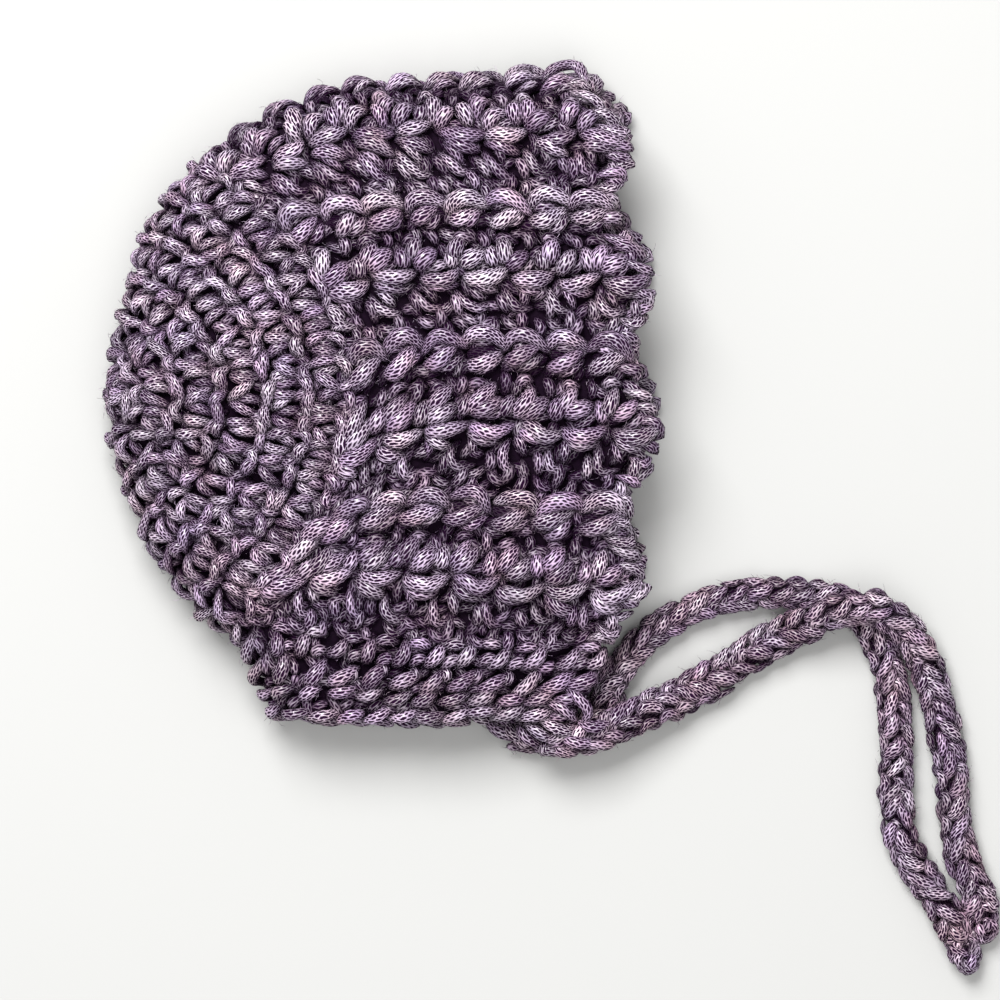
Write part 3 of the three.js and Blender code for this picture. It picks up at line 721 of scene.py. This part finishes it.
def crown_fabric(share, turn):
    """The crown's wall at a share of its radius. The turn starts at the nape, runs up over the
    visible side to the top fold, and back down the side that the bonnet lies on."""
    turn = np.mod(turn, WHOLE_TURN)
    lower = turn > WHOLE_TURN / 2
    angle = np.where(lower, WHOLE_TURN - turn, turn) - SEAM_FOOT
    s, q = flat_to_fold(*crown_flat(share, angle))
    q = np.maximum(q, 0)
    return wall_at(s, np.where(lower, -q, q))


CROWN_ROUNDS = 6
CROWN_PITCH = 5.7
CROWN_SPREAD = 0.42
CROWN_SWING = 12
CROWN_FIBRES = 3000
ROUND_HEIGHT = CROWN_RADIUS / CROWN_ROUNDS
# Strands of one tall stitch over (along the round, outwards, height)
# A strand's depth is painted shade added to a strand that lies low
CROWN_STITCH = [
    {"line": [(-3.4, -0.3, 0.6), (-0.6, -1.2, 3.8), (2.2, 0.4, 1.0)], "width": 1.3},
    {"line": [(0.2, 0.0, 0.4), (1.9, 2.7, 3.6), (2.9, 6.6, 0.9)], "width": 1.3},
    {"line": [(-0.4, 0.0, 0.4), (-1.8, 2.7, 3.5), (-2.4, 6.6, 0.9)], "width": 1.3},
    {"line": [(0.0, 0.4, 0.3), (0.2, 3.6, 2.5), (-0.2, 7.2, 0.7)], "width": 1.25, "depth": 0.1},
    {"line": [(3.0, 4.8, 0.6), (0.8, 7.4, 3.6), (-2.4, 8.0, 0.8)], "width": 1.25},
    {"line": [(-3.3, 4.4, 0.3), (-2.4, 7.0, 2.5), (-0.6, 9.0, 0.6)], "width": 1.15, "depth": 0.1},
]


def crown_patches(sign, rings, sides, stitch):
    """A stitch worked in rounds, on the crown's outside or, with a minus, inside."""
    patches = []
    for number in range(CROWN_ROUNDS):
        radius = (number + 0.12) * ROUND_HEIGHT
        reach = max(radius, ROUND_HEIGHT * 0.35)
        held = np.interp(reach, CIRCLES, MEETS_TOP) + np.interp(reach, CIRCLES, MEETS_FOOT)
        girth = 2 * held * (reach + 1.5)
        count = max(7, int(round(girth / CROWN_PITCH)))
        places = (np.arange(count) + chance.uniform(0, 1)) / count * WHOLE_TURN
        for strand in stitch:
            points = scattered(strand["line"], count, CROWN_SPREAD, CROWN_SWING)
            fine = smooth_through(points, rings)
            outward = radius + fine[..., 1]
            turn = places[:, None] + fine[..., 0] / girth * WHOLE_TURN
            spots = crown_fabric(np.clip(outward / CROWN_RADIUS, 0.01, 1.02), turn)
            widths = strand["width"] * chance.uniform(0.88, 1.12, count)
            patches.append(on_wall(spots, sign, fine, widths, sides, strand.get("depth", 0)))
    return patches


def crown_fillers(spacing, rings, sides):
    """Low strands all over the crown, between its stitches."""
    patches = []
    for radius in np.arange(3, CROWN_RADIUS, spacing):
        held = np.interp(radius, CIRCLES, MEETS_TOP) + np.interp(radius, CIRCLES, MEETS_FOOT)
        girth = 2 * (radius + 1.5) * held
        count = int(round(girth / spacing))
        lines, widths = filler_lines(count)
        fine = smooth_through(lines, rings)
        turn = (np.arange(count) + chance.uniform(0, 0.8, count))[:, None] / count + fine[..., 0] / girth
        outward = np.clip((radius + fine[..., 1]) / CROWN_RADIUS, 0.01, 1.02)
        patches.append(on_wall(crown_fabric(outward, turn * WHOLE_TURN), 1, fine, widths, sides, 0))
    return patches


def wall_backing(name, spots, material, thick=0.9):
    """A thin wall behind the stitches, closed all round, from a grid of wall places: a dark sheet of
    painted shade between the stitches.
    """
    middle, out = spots
    rows, columns = middle.shape[:2]
    skins = [laid(middle, out, np.full(middle.shape[:2] + (1,), side * thick)) for side in (0.3, -1.0)]
    vertices = np.concatenate([skin.reshape(-1, 3) for skin in skins])
    vertices[:, 2] = np.maximum(vertices[:, 2], 0.05)
    half = rows * columns
    faces = []
    for i in range(rows - 1):
        for j in range(columns - 1):
            a = i * columns + j
            faces.append((a, a + 1, a + columns + 1, a + columns))
            faces.append((half + a, half + a + columns, half + a + columns + 1, half + a + 1))
    rim = ([i for i in range(columns)] + [i * columns + columns - 1 for i in range(1, rows)]
           + [(rows - 1) * columns + i for i in range(columns - 2, -1, -1)]
           + [i * columns for i in range(rows - 2, 0, -1)])
    for a, b in zip(rim, rim[1:] + rim[:1]):
        faces.append((b, a, half + a, half + b))
    mesh = bpy.data.meshes.new(name)
    mesh.from_pydata((vertices * MM).tolist(), [], faces)
    mesh.polygons.foreach_set("use_smooth", np.ones(len(mesh.polygons), bool))
    mesh.materials.append(material)
    piece = bpy.data.objects.new(name, mesh)
    bpy.context.scene.collection.objects.link(piece)
    bpy.context.view_layer.objects.active = piece
    piece.select_set(True)
    bpy.ops.object.mode_set(mode="EDIT")
    bpy.ops.mesh.select_all(action="SELECT")
    bpy.ops.mesh.remove_doubles(threshold=0.00001)
    bpy.ops.mesh.normals_make_consistent(inside=False)
    bpy.ops.object.mode_set(mode="OBJECT")
    piece.select_set(False)
    return piece


# Near-black painted shade of the backing, seen in the gaps between the stitches
PAINTED_BACKING_SHADE = (0.003, 0.001, 0.003, 1)
BACKING_GRAIN = 900


def backing_material():
    """The shaded yarn between and behind the stitches."""
    material = bpy.data.materials.new("shaded_yarn")
    material.use_nodes = True
    tree = material.node_tree
    shader = tree.nodes["Principled BSDF"]
    place = tree.nodes.new("ShaderNodeTexCoord")
    grain = noise_node(tree, place.outputs["Object"], BACKING_GRAIN, 4)
    tree.links.new(mixed(tree, grain.outputs["Fac"], PAINTED_BACKING_SHADE, PAINTED_SHADE_DARK), shader.inputs["Base Color"])
    shader.inputs["Roughness"].default_value = 0.9
    shader.inputs["Specular IOR Level"].default_value = 0.1
    bump = tree.nodes.new("ShaderNodeBump")
    bump.inputs["Strength"].default_value = 0.8
    bump.inputs["Distance"].default_value = 0.5 * MM
    tree.links.new(grain.outputs["Fac"], bump.inputs["Height"])
    tree.links.new(bump.outputs[0], shader.inputs["Normal"])
    return material


SHADED_YARN = backing_material()
YARN_TIGHT = yarn_material("mauve_yarn_crown", slot_size=0.84)

crown_strands = crown_patches(1, 11, 8, CROWN_STITCH)
crown = yarn_mesh("crown_stitches", crown_strands, YARN_TIGHT)
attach(crown, "root")
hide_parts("crown")
deep_strands = crown_fillers(4.4, 7, 5) + [fuzz(crown_strands, CROWN_FIBRES)]
crown_depths = yarn_mesh("crown_depths", deep_strands, YARN_TIGHT)
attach(crown_depths, "root")
crown_inside = yarn_mesh("crown_inside", crown_patches(-1, 7, 5, CROWN_STITCH[:3]), YARN_INSIDE_SHADED)
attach(crown_inside, "root")
share, turn = np.meshgrid(np.linspace(0.01, 1, 20), np.linspace(0, WHOLE_TURN * 0.9999, 90), indexing="ij")
crown_backing = wall_backing("crown_backing", crown_fabric(share, turn), SHADED_YARN)
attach(crown_backing, "root")

# Hood
# Worked in rows from the crown to the face. Each row is a band of star stitches, whose
# strands fan out of an eye towards the face, under a raised ridge of chained stitches.
ROWS = [
    {"row": -4, "seam": -113.4, "face": -121.4, "face_x": 46.3, "slope": -10},
    {"row": -3, "seam": -93, "face": -90, "face_x": 51, "slope": 35},
    {"row": -2, "seam": -66, "face": -57, "face_x": 52.2, "slope": 22},
    {"row": -1, "seam": -36, "face": -26.9, "face_x": 48.4, "slope": 18},
    {"row": 0, "seam": -5.4, "face": 4.5, "face_x": 42.8, "slope": 10},
    {"row": 1, "seam": 26.3, "face": 30.9, "face_x": 48.5, "slope": 18},
    {"row": 2, "seam": 58.5, "face": 60.9, "face_x": 52.7, "slope": 24},
    {"row": 3, "seam": 96.7, "face": 94.4, "face_x": 51.2, "slope": 45},
    {"row": 3.86, "seam": 113.4, "face": 121.4, "face_x": 46.3, "slope": -10},
]
LOWER_NECK_ROW = -4
UPPER_NECK_ROW = 3.86
SCALLOP = 5.8
PIECE_GAP = 0.3
# Rows follow the fold up to so far from it, and then their own slopes
FOLD_FOLLOWING = {"to": 2, "over": 22}


def row_value(row, column):
    return np.interp(row, [r["row"] for r in ROWS], [r[column] for r in ROWS])


def hood_fabric(share, row):
    """The hood's wall at a share of the way along a row, from the crown to the face."""
    share, row = np.broadcast_arrays(np.asarray(share, float), np.asarray(row, float))
    seam = row_value(row, "seam")
    face = row_value(row, "face")
    face_x = row_value(row, "face_x") + SCALLOP * np.sin(np.pi * row) ** 2
    start_x, start_y = crown_flat(1, SEAM_TOP - np.abs(seam) / CROWN_RADIUS, PIECE_GAP / 2)
    start_s, start_q = flat_to_fold(start_x, start_y)
    s = mix(start_s, face_x - PIVOT_X, share)
    q = mix(np.sign(seam) * np.maximum(start_q, 0), face, share)
    depth = np.where(seam * face > 0, np.minimum(np.abs(seam), np.abs(face)), 0)
    away = ease((depth - FOLD_FOLLOWING["to"]) / FOLD_FOLLOWING["over"])
    end_y = fold_top(face_x) + FOLD_SLACK - np.abs(face)
    pull = np.hypot(face_x - start_x, end_y - start_y) / 3
    slope = row_value(row, "slope") * DEGREE
    b = (1 - share) ** 3, 3 * share * (1 - share) ** 2, 3 * share ** 2 * (1 - share), share ** 3
    x = b[0] * start_x + b[1] * (start_x + pull * np.cos(slope)) + b[2] * (face_x - pull) + b[3] * face_x
    y = b[0] * start_y + b[1] * (start_y + pull * np.sin(slope)) + b[2] * (end_y - pull / 20) + b[3] * end_y
    folded_x, folded_y = fold_to_flat(s, np.abs(q))
    place_s, place_q = flat_to_fold(mix(folded_x, x, away), mix(folded_y, y, away))
    near = away == 0
    return wall_at(np.where(near, s, place_s), np.where(near, q, place_q * np.sign(face)))


ROW_HEIGHT = 31.4
STAR_PITCH = 9.5
STAR_EYE = 0.473
# Strands of one star stitch over (towards the face, up, height), from its eye
# A strand's depth is painted shade added to a strand that lies low
STAR_STITCH = [
    {"line": [(0.2, -0.2, 0.2), (2.6, -1.2, 3.4), (5.8, -1.1, 3.9), (9.8, 0.7, 1.2)],
     "width": 1.85},
    {"line": [(0.2, 0.9, 0.2), (3.0, 2.6, 4.0), (7.0, 4.9, 1.3)], "width": 2.0},
    {"line": [(0.9, 0.1, 0.2), (4.4, 1.4, 2.3), (8.0, 3.2, 1.0)], "width": 1.3, "depth": 0.08},
    {"line": [(-0.3, 1.8, 0.3), (1.4, 4.4, 4.0), (4.4, 8.0, 1.2)], "width": 1.95},
    {"line": [(-2.4, 0.9, 0.3), (-1.4, 3.0, 3.5), (-0.6, 5.8, 0.9)], "width": 1.75},
    {"line": [(0.2, 6.4, 0.4), (2.6, 8.4, 2.4), (5.2, 7.8, 0.5)], "width": 1.25, "depth": 0.12},
    {"line": [(-3.0, 5.2, 0.3), (-1.6, 7.6, 2.2), (-1.8, 9.8, 0.4)], "width": 1.3, "depth": 0.15},
    {"line": [(0.0, -1.2, 0.2), (3.2, -3.0, 3.6), (7.4, -3.9, 1.0)], "width": 1.8},
    {"line": [(0.3, -1.9, 0.3), (2.0, -4.2, 2.7), (3.4, -7.0, 0.6)], "width": 1.2},
    {"line": [(-1.5, -2.6, 0.5), (-0.7, -5.8, 2.8), (1.4, -8.3, 2.3), (5.0, -8.4, 0.6)],
     "width": 1.2, "depth": 0.03},
    {"line": [(1.9, -1.4, 0.2), (4.6, -2.1, 1.3), (7.6, -2.3, 0.4)], "width": 1.2, "depth": 0.5},
    {"line": [(6.2, -4.6, 0.4), (7.6, -7.0, 2.5), (8.2, -9.8, 0.5)], "width": 1.35, "depth": 0.08},
    {"line": [(2.6, -7.6, 0.4), (3.4, -10.4, 2.2), (2.8, -13.0, 0.5)], "width": 1.3, "depth": 0.15},
    {"line": [(-1.8, -9.4, 0.4), (0.8, -11.2, 2.1), (3.6, -11.4, 0.5)], "width": 1.2, "depth": 0.15},
    {"line": [(5.4, -9.4, 0.4), (6.4, -12.0, 2.3), (6.0, -14.4, 0.5)], "width": 1.3, "depth": 0.12},
    {"line": [(-2.0, 9.6, 0.2), (0.6, 11.4, 1.8), (3.0, 10.6, 0.2)], "width": 1.2, "depth": 0.4},
    {"line": [(3.4, 9.2, 0.2), (5.4, 11.0, 1.8), (7.0, 12.6, 0.3)], "width": 1.15, "depth": 0.4},
]
# Strands of one ridge stitch, over the same three ways
RIDGE_PITCH = 8.5
# A strand's depth is painted shade; the wide low one paints the shade under the ridge
RIDGE_STITCH = [
    {"line": [(-0.8, -0.2, 1.4), (1.8, 2.7, 3.8), (5.2, 2.9, 4.1), (8.8, 0.1, 1.7)],
     "width": 1.9},
    {"line": [(-1.2, -3.5, 1.1), (2.2, -2.4, 3.9), (6.8, 0.9, 2.3)], "width": 1.9},
    {"line": [(0.8, -4.2, 0.9), (4.0, -3.2, 3.1), (7.4, -0.8, 1.1)], "width": 1.35},
    {"line": [(0.6, 0.6, 0.9), (3.2, 1.0, 3.0), (6.2, 1.2, 1.0)], "width": 1.3, "depth": 0.1},
    {"line": [(0.0, -0.6, 1.0), (4.0, -1.0, 1.6), (8.0, -0.6, 1.0)], "width": 2.2, "depth": 0.75},
]
# A strand that wraps round the edge at the face, over the same three ways
EDGE_STRAND = {"over": [-4.5, -0.6, 0.6, -2.5], "up": [1.2, 0.4, -0.4, -1.0],
               "height": [1.8, 2.6, -0.4, -2.0]}
EDGE_ROWS = (-3.95, 3.85)
EDGE_PITCH = 3.6
EDGE_WIDTH = 1.35
EDGE_LENGTH = 66
RIM_FROM = 0.93
# By this share the painted shade is lifted near the face edge, and near the hem of the band
RIM_BRIGHTER = 0.8
INSIDE_LIFT = 1.2
# The strands end at these shares of a row, outside just over the edge and inside short of it
OUTSIDE_END = 1.02
INSIDE_END = 0.985


def row_length(row):
    """The length of fabric along a row, from the crown to the face."""
    middle, _ = hood_fabric(np.linspace(0, 1, 60), np.full(60, float(row)))
    return float(np.linalg.norm(np.diff(middle, axis=0), axis=1).sum())


def on_hood(lines, start, row, length, rings, widths, sides, depth, sign=1):
    """Strands drawn over (towards the face, up, height) from places along rows of the hood."""
    fine = smooth_through(lines, rings)
    share = np.asarray(start).reshape(-1, 1) + fine[..., 0] / length
    rows = np.asarray(row).reshape(-1, 1) - fine[..., 1] / ROW_HEIGHT
    end = OUTSIDE_END if sign > 0 else INSIDE_END
    spots = hood_fabric(np.clip(share, -0.01, end), np.clip(rows, LOWER_NECK_ROW, UPPER_NECK_ROW))
    patch = on_wall(spots, sign, fine, widths, sides, depth)
    patch["shade"] *= 1 - RIM_BRIGHTER * ease((share - RIM_FROM) / 0.05)[..., None]
    return patch


def hood_patches(sign, rows, stitch, pitch, rings, sides):
    """A stitch worked along rows of the hood, on its outside or, with a minus, inside."""
    patches = []
    for row in rows:
        length = row_length(row)
        count = int(round(length / pitch))
        starts = np.arange(count) / count
        for strand in stitch:
            widths = strand["width"] * chance.uniform(0.88, 1.14, count)
            lines = scattered(strand["line"], count)
            patches.append(on_hood(lines, starts, row, count * pitch, rings, widths, sides,
                                   strand.get("depth", 0), sign))
    return patches


def hood_fillers(low_row, high_row, spacing, rings, sides, sign=1):
    rows = np.arange(low_row, high_row, spacing / ROW_HEIGHT)
    patches = []
    for row in rows:
        length = row_length(row)
        count = int(round(length / spacing))
        lines, widths = filler_lines(count)
        lines[..., 2] += 0 if sign > 0 else INSIDE_LIFT
        start = (np.arange(count) + chance.uniform(0.1, 0.9, count)) / count
        patches.append(on_hood(lines, start, row, length, rings, widths, sides, 0, sign))
    return patches


def face_edge_patches(rings, sides):
    """Strands that wrap round the edge at the face, from the outside to the inside."""
    rows = np.arange(*EDGE_ROWS, EDGE_PITCH / ROW_HEIGHT)
    count = len(rows)
    lines = np.zeros((count, 4, 3))
    lines[:, :, 0] = EDGE_STRAND["over"]
    lines[:, :, 1] = chance.normal(0, 0.9, (count, 4)) + EDGE_STRAND["up"]
    lines[:, :, 2] = EDGE_STRAND["height"]
    lines = lines + chance.normal(0, 0.25, lines.shape)
    widths = EDGE_WIDTH * chance.uniform(0.85, 1.15, count)
    return [on_hood(lines, np.full(count, 0.995), rows, EDGE_LENGTH, rings, widths, sides, 0.05)]


# The side that the bonnet lies on has fewer and coarser strands
UPPER_STARS = [band + STAR_EYE for band in (0, 1, 2, 3)]
LOWER_STARS = [band + STAR_EYE for band in (-4, -3, -2, -1)]
UPPER_RIDGES = [0, 1, 2, 3]
LOWER_RIDGES = [-3, -2, -1]
# The rows where the top fold lies, and from which the stars leave more room between them
FOLD_ROW = 0.15
THIN_FROM_ROW = 3.3
HOOD_FIBRES = 3800
hood_strands = (hood_patches(1, UPPER_STARS, STAR_STITCH, STAR_PITCH, 13, 8)
                + hood_patches(1, LOWER_STARS, STAR_STITCH[:14], STAR_PITCH, 9, 7))
hood = yarn_mesh("hood_stitches", hood_strands, YARN)
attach(hood, "root")
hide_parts("hood_panel")
ridge_strands = (hood_patches(1, UPPER_RIDGES, RIDGE_STITCH, RIDGE_PITCH, 14, 10)
                 + hood_patches(1, LOWER_RIDGES, RIDGE_STITCH[:3], RIDGE_PITCH, 11, 7)
                 + face_edge_patches(9, 7))
hood_fibres = fuzz(hood_strands + ridge_strands, HOOD_FIBRES)
ridges = yarn_mesh("hood_ridges", ridge_strands + [hood_fibres], YARN)
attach(ridges, "root")
deep_strands = (hood_fillers(FOLD_ROW, THIN_FROM_ROW, 4.1, 7, 6)
                + hood_fillers(THIN_FROM_ROW, UPPER_NECK_ROW, 2.9, 7, 6)
                + hood_fillers(LOWER_NECK_ROW, FOLD_ROW, 6, 7, 5))
hood_depths = yarn_mesh("hood_depths", deep_strands, YARN)
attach(hood_depths, "root")
inside_stitch = STAR_STITCH[:4] + STAR_STITCH[7:12]
inside_strands = (hood_patches(-1, LOWER_STARS + UPPER_STARS, inside_stitch, STAR_PITCH, 7, 5)
                  + hood_fillers(LOWER_NECK_ROW, UPPER_NECK_ROW, 4.6, 6, 5, -1))
hood_inside = yarn_mesh("hood_inside", inside_strands, YARN_INSIDE_SHADED)
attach(hood_inside, "root")
backing_rows = np.linspace(LOWER_NECK_ROW, UPPER_NECK_ROW, 200)
share, row = np.meshgrid(np.linspace(0, RIM_FROM, 30), backing_rows, indexing="ij")
hood_backing = wall_backing("hood_backing", hood_fabric(share, row), SHADED_YARN)
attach(hood_backing, "root")

# Neck band
# A narrow band that draws the neck in: slanted short stitches hang from the hood's last
# rows and from the crown, and a chain of leaf-shaped stitches finishes the edge.
NECK_EDGE_Y = -68.9
BAND_GAP = 0.45
BAND_FRONT_X = 39.6
BAND_BACK_X = -17.2
BAND_PITCH = 5.4
BAND_HEIGHT = 16.3
BAND_SPREAD = 0.25
BAND_FIBRES = 900
LOWER_DROP = 1.1
HEM_TO = 3


def band_outline():
    """The band's upper line and hem on the visible side, from the front corner to the nape."""
    share = np.linspace(1, 0, 24)
    middle, _ = hood_fabric(share, np.full(24, UPPER_NECK_ROW))
    top = np.stack([middle[:, 0], middle[:, 1] - BAND_GAP], -1)
    hem = np.stack([mix(BAND_BACK_X, BAND_FRONT_X, share), np.full(24, NECK_EDGE_Y)], -1)
    step = np.linspace(0, 1, 9)[1:]
    first = SEAM_TOP - ROWS[-1]["seam"] / CROWN_RADIUS
    angle = -mix(-first, SEAM_FOOT, step)
    radius = crown_edge(angle) + PIECE_GAP
    nape_top = np.stack([CROWN_X + radius * np.cos(angle), radius * np.sin(angle)], -1)
    foot = fold_to_flat(np.float64((90 * DEGREE - NAPE_FOOT["angle"]) * S_RADIUS), 0)
    nape_hem = np.stack([mix(BAND_BACK_X, foot[0], step), mix(NECK_EDGE_Y, foot[1], step)], -1)
    return np.concatenate([top, nape_top]), np.concatenate([hem, nape_hem])


BAND_TOP, BAND_HEM = band_outline()
BAND_STEPS = np.concatenate([[0], np.cumsum(np.linalg.norm(np.diff(BAND_HEM, axis=0), axis=1))])
BAND_HALF = float(BAND_STEPS[-1])


def band_fabric(along, up):
    """The band's wall: along its hem from the visible front corner over the nape to the
    other one, and up from the hem."""
    along, up = np.broadcast_arrays(np.asarray(along, float), np.asarray(up, float))
    lower = along > BAND_HALF
    way = np.clip(np.where(lower, 2 * BAND_HALF - along, along), 0, BAND_HALF)
    hem = np.stack([np.interp(way, BAND_STEPS, BAND_HEM[:, i]) for i in range(2)], -1)
    top = np.stack([np.interp(way, BAND_STEPS, BAND_TOP[:, i]) for i in range(2)], -1)
    place = hem + (top - hem) * (up / BAND_HEIGHT)[..., None]
    s, q = flat_to_fold(place[..., 0], place[..., 1])
    q = np.maximum(q, 0)
    return wall_at(s, np.where(lower, -q, q))


# Strands of one band stitch over (towards the face, up from the hem, height)
# A strand's depth is painted shade added to a strand that lies low
BAND_STITCH = [
    {"line": [(-3.3, 0.9, 0.6), (0.0, 1.5, 3.2), (3.5, 2.7, 1.0)], "width": 1.4},
    {"line": [(-3.5, 4.1, 0.6), (-0.4, 5.0, 3.6), (2.8, 6.5, 1.1)], "width": 1.45},
    {"line": [(-1.5, 6.0, 0.7), (1.2, 8.6, 3.8), (4.3, 11.4, 1.1)], "width": 1.7},
    {"line": [(0.3, 11.0, 0.7), (2.4, 13.6, 3.6), (3.9, 16.2, 0.8)], "width": 1.6},
    {"line": [(-2.6, 11.2, 0.5), (-0.9, 13.2, 3.1), (0.7, 13.0, 0.7)], "width": 1.3},
    {"line": [(-2.2, 15.4, 0.4), (0.0, 16.8, 2.9), (2.2, 15.6, 0.4)], "width": 1.35},
    {"line": [(-2.8, 8.2, 0.3), (-1.4, 9.8, 2.5), (-1.8, 11.6, 0.5)], "width": 1.25, "depth": 0.05},
    {"line": [(-1.8, 2.5, 0.2), (0.4, 3.4, 1.9), (2.6, 4.0, 0.3)], "width": 1.25, "depth": 0.05},
    {"line": [(1.6, 5.8, 0.2), (3.0, 7.4, 1.8), (4.4, 7.6, 0.3)], "width": 1.15, "depth": 0.05},
]


def band_patches(sign, rings, sides, stitch):
    """A stitch worked along the band, on its outside or, with a minus, inside."""
    count = int(round(2 * BAND_HALF / BAND_PITCH))
    places = (np.arange(count) + 0.5) / count * 2 * BAND_HALF
    patches = []
    for strand in stitch:
        fine = smooth_through(scattered(strand["line"], count, BAND_SPREAD), rings)
        along = np.clip(places[:, None] - fine[..., 0], 0, 2 * BAND_HALF)
        spots = band_fabric(along, fine[..., 1] - LOWER_DROP * ease((along - BAND_HALF) / 12))
        widths = strand["width"] * chance.uniform(0.88, 1.12, count)
        patches.append(on_wall(spots, sign, fine, widths, sides, strand.get("depth", 0)))
        # The painted shade is lifted near the hem
        patches[-1]["shade"] *= 1 - RIM_BRIGHTER * ease((HEM_TO - fine[..., 1]) / 2)[..., None]
    return patches


def band_fillers(spacing, rings, sides):
    patches = []
    for height in np.arange(3, BAND_HEIGHT + 1, spacing):
        count = int(round(2 * BAND_HALF / spacing))
        lines, widths = filler_lines(count, 1.25)
        fine = smooth_through(lines, rings)
        along = (np.arange(count) + chance.uniform(0.1, 0.9, count))[:, None] * 2 * BAND_HALF / count
        spots = band_fabric(np.clip(along - fine[..., 0], 0, 2 * BAND_HALF), height + fine[..., 1])
        patches.append(on_wall(spots, 1, fine, widths, sides, 0))
    return patches


# The corners in front, where the ties are worked on: strands over (x, y, z) of the frame
CORNER_STRANDS = [
    {"line": [(38.4, -61.2, 11.6), (41.0, -63.4, 13.4), (43.4, -66.4, 13.2), (42.2, -69.8, 11.0)],
     "width": 1.3},
    {"line": [(34.6, -64.4, 11.6), (38.0, -66.0, 13.2), (41.0, -68.6, 11.6)], "width": 1.25},
    {"line": [(33.2, -68.2, 11.0), (37.0, -70.2, 12.6), (40.6, -71.6, 10.8)], "width": 1.45},
    {"line": [(30.2, -69.0, 10.2), (33.2, -71.2, 11.6), (37.2, -73.4, 9.6)], "width": 1.35},
    {"line": [(37.6, -72.0, 10.6), (41.0, -73.2, 12.0), (45.0, -73.2, 10.0)], "width": 1.45},
    {"line": [(41.2, -68.8, 10.6), (44.6, -69.8, 12.0), (48.6, -68.8, 10.0)], "width": 1.45},
    {"line": [(28.6, -69.6, 7.6), (30.4, -72.2, 8.4), (34.6, -74.2, 7.0)], "width": 1.35},
    {"line": [(26.0, -69.0, 4.6), (27.6, -71.4, 5.6), (31.0, -73.6, 4.4)], "width": 1.35},
    {"line": [(22.0, -69.2, 4.0), (25.0, -71.2, 5.0), (29.4, -72.6, 4.0)], "width": 1.35},
    {"line": [(31.8, -74.2, 3.6), (35.0, -75.0, 4.8), (38.6, -74.2, 3.6)], "width": 1.35},
    {"line": [(44.0, -60.8, 9.0), (42.0, -63.2, 10.2), (40.2, -65.6, 9.4)], "width": 1.2},
    {"line": [(35.0, -71.0, 7.6), (38.8, -73.0, 8.2), (43.0, -72.6, 7.6)], "width": 2.2},
]


def corner_patches():
    patches = []
    for strand in CORNER_STRANDS:
        middle = smooth_through(strand["line"], 12)[None]
        out = np.broadcast_to([0, 0, 1.0], middle.shape)
        patches.append(strands(middle, out, [strand["width"]], [strand["width"] * 0.7], 8, 0))
    return patches


band_strands = band_patches(1, 12, 8, BAND_STITCH) + corner_patches()
band_depths = band_fillers(3.6, 8, 6) + [fuzz(band_strands, BAND_FIBRES)]
band = yarn_mesh("band_stitches", band_strands + band_depths, YARN)
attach(band, "root")
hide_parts("neck_band")
band_inside = yarn_mesh("band_inside", band_patches(-0.6, 8, 6, BAND_STITCH[:3]), YARN_INSIDE_SHADED)
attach(band_inside, "root")
backing_along = np.linspace(1, 2 * BAND_HALF - 1, 90)
along, up = np.meshgrid(backing_along, np.linspace(0.9, BAND_HEIGHT + 1, 9), indexing="ij")
band_backing = wall_backing("band_backing", band_fabric(along, up), SHADED_YARN, thick=0.8)
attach(band_backing, "root")

# Floor and light
# A plain pale floor under the bonnet, soft daylight from a window at the upper left, and
# a weaker light that the room throws back from below the picture.
FLOOR_SIZE = 4
FLOOR_PALE = (0.468, 0.468, 0.459, 1)
LIT_PLACE = (0.02, -0.02, 0)
ROOM_STRENGTH = 0.54
bpy.ops.mesh.primitive_plane_add(size=FLOOR_SIZE, location=(0, 0, 0))
floor = bpy.context.object
floor.name = "floor"
pale_floor = bpy.data.materials.new("pale_floor")
pale_floor.use_nodes = True
pale_floor.node_tree.nodes["Principled BSDF"].inputs["Base Color"].default_value = FLOOR_PALE
pale_floor.node_tree.nodes["Principled BSDF"].inputs["Roughness"].default_value = 0.9
floor.data.materials.append(pale_floor)


def soft_light(name, place, size, power):
    """A square light that faces the bonnet."""
    bpy.ops.object.light_add(type="AREA", location=place)
    light = bpy.context.object
    light.name = name
    light.data.size = size
    light.data.energy = power
    aim = np.array(LIT_PLACE) - np.array(place)
    tilt = math.acos(-aim[2] / np.linalg.norm(aim))
    light.rotation_euler = (tilt, 0, math.atan2(aim[1], aim[0]) - math.pi / 2)


soft_light("window", (-0.22, 0.54, 0.85), 0.62, 17.4)
soft_light("room", (0.12, -0.36, 1.1), 0.9, 5.4)
world = bpy.data.worlds.new("room_light")
world.use_nodes = True
world.node_tree.nodes["Background"].inputs["Color"].default_value = (1, 1, 1, 1)
world.node_tree.nodes["Background"].inputs["Strength"].default_value = ROOM_STRENGTH
bpy.context.scene.world = world
bpy.context.scene.view_settings.view_transform = "Standard"
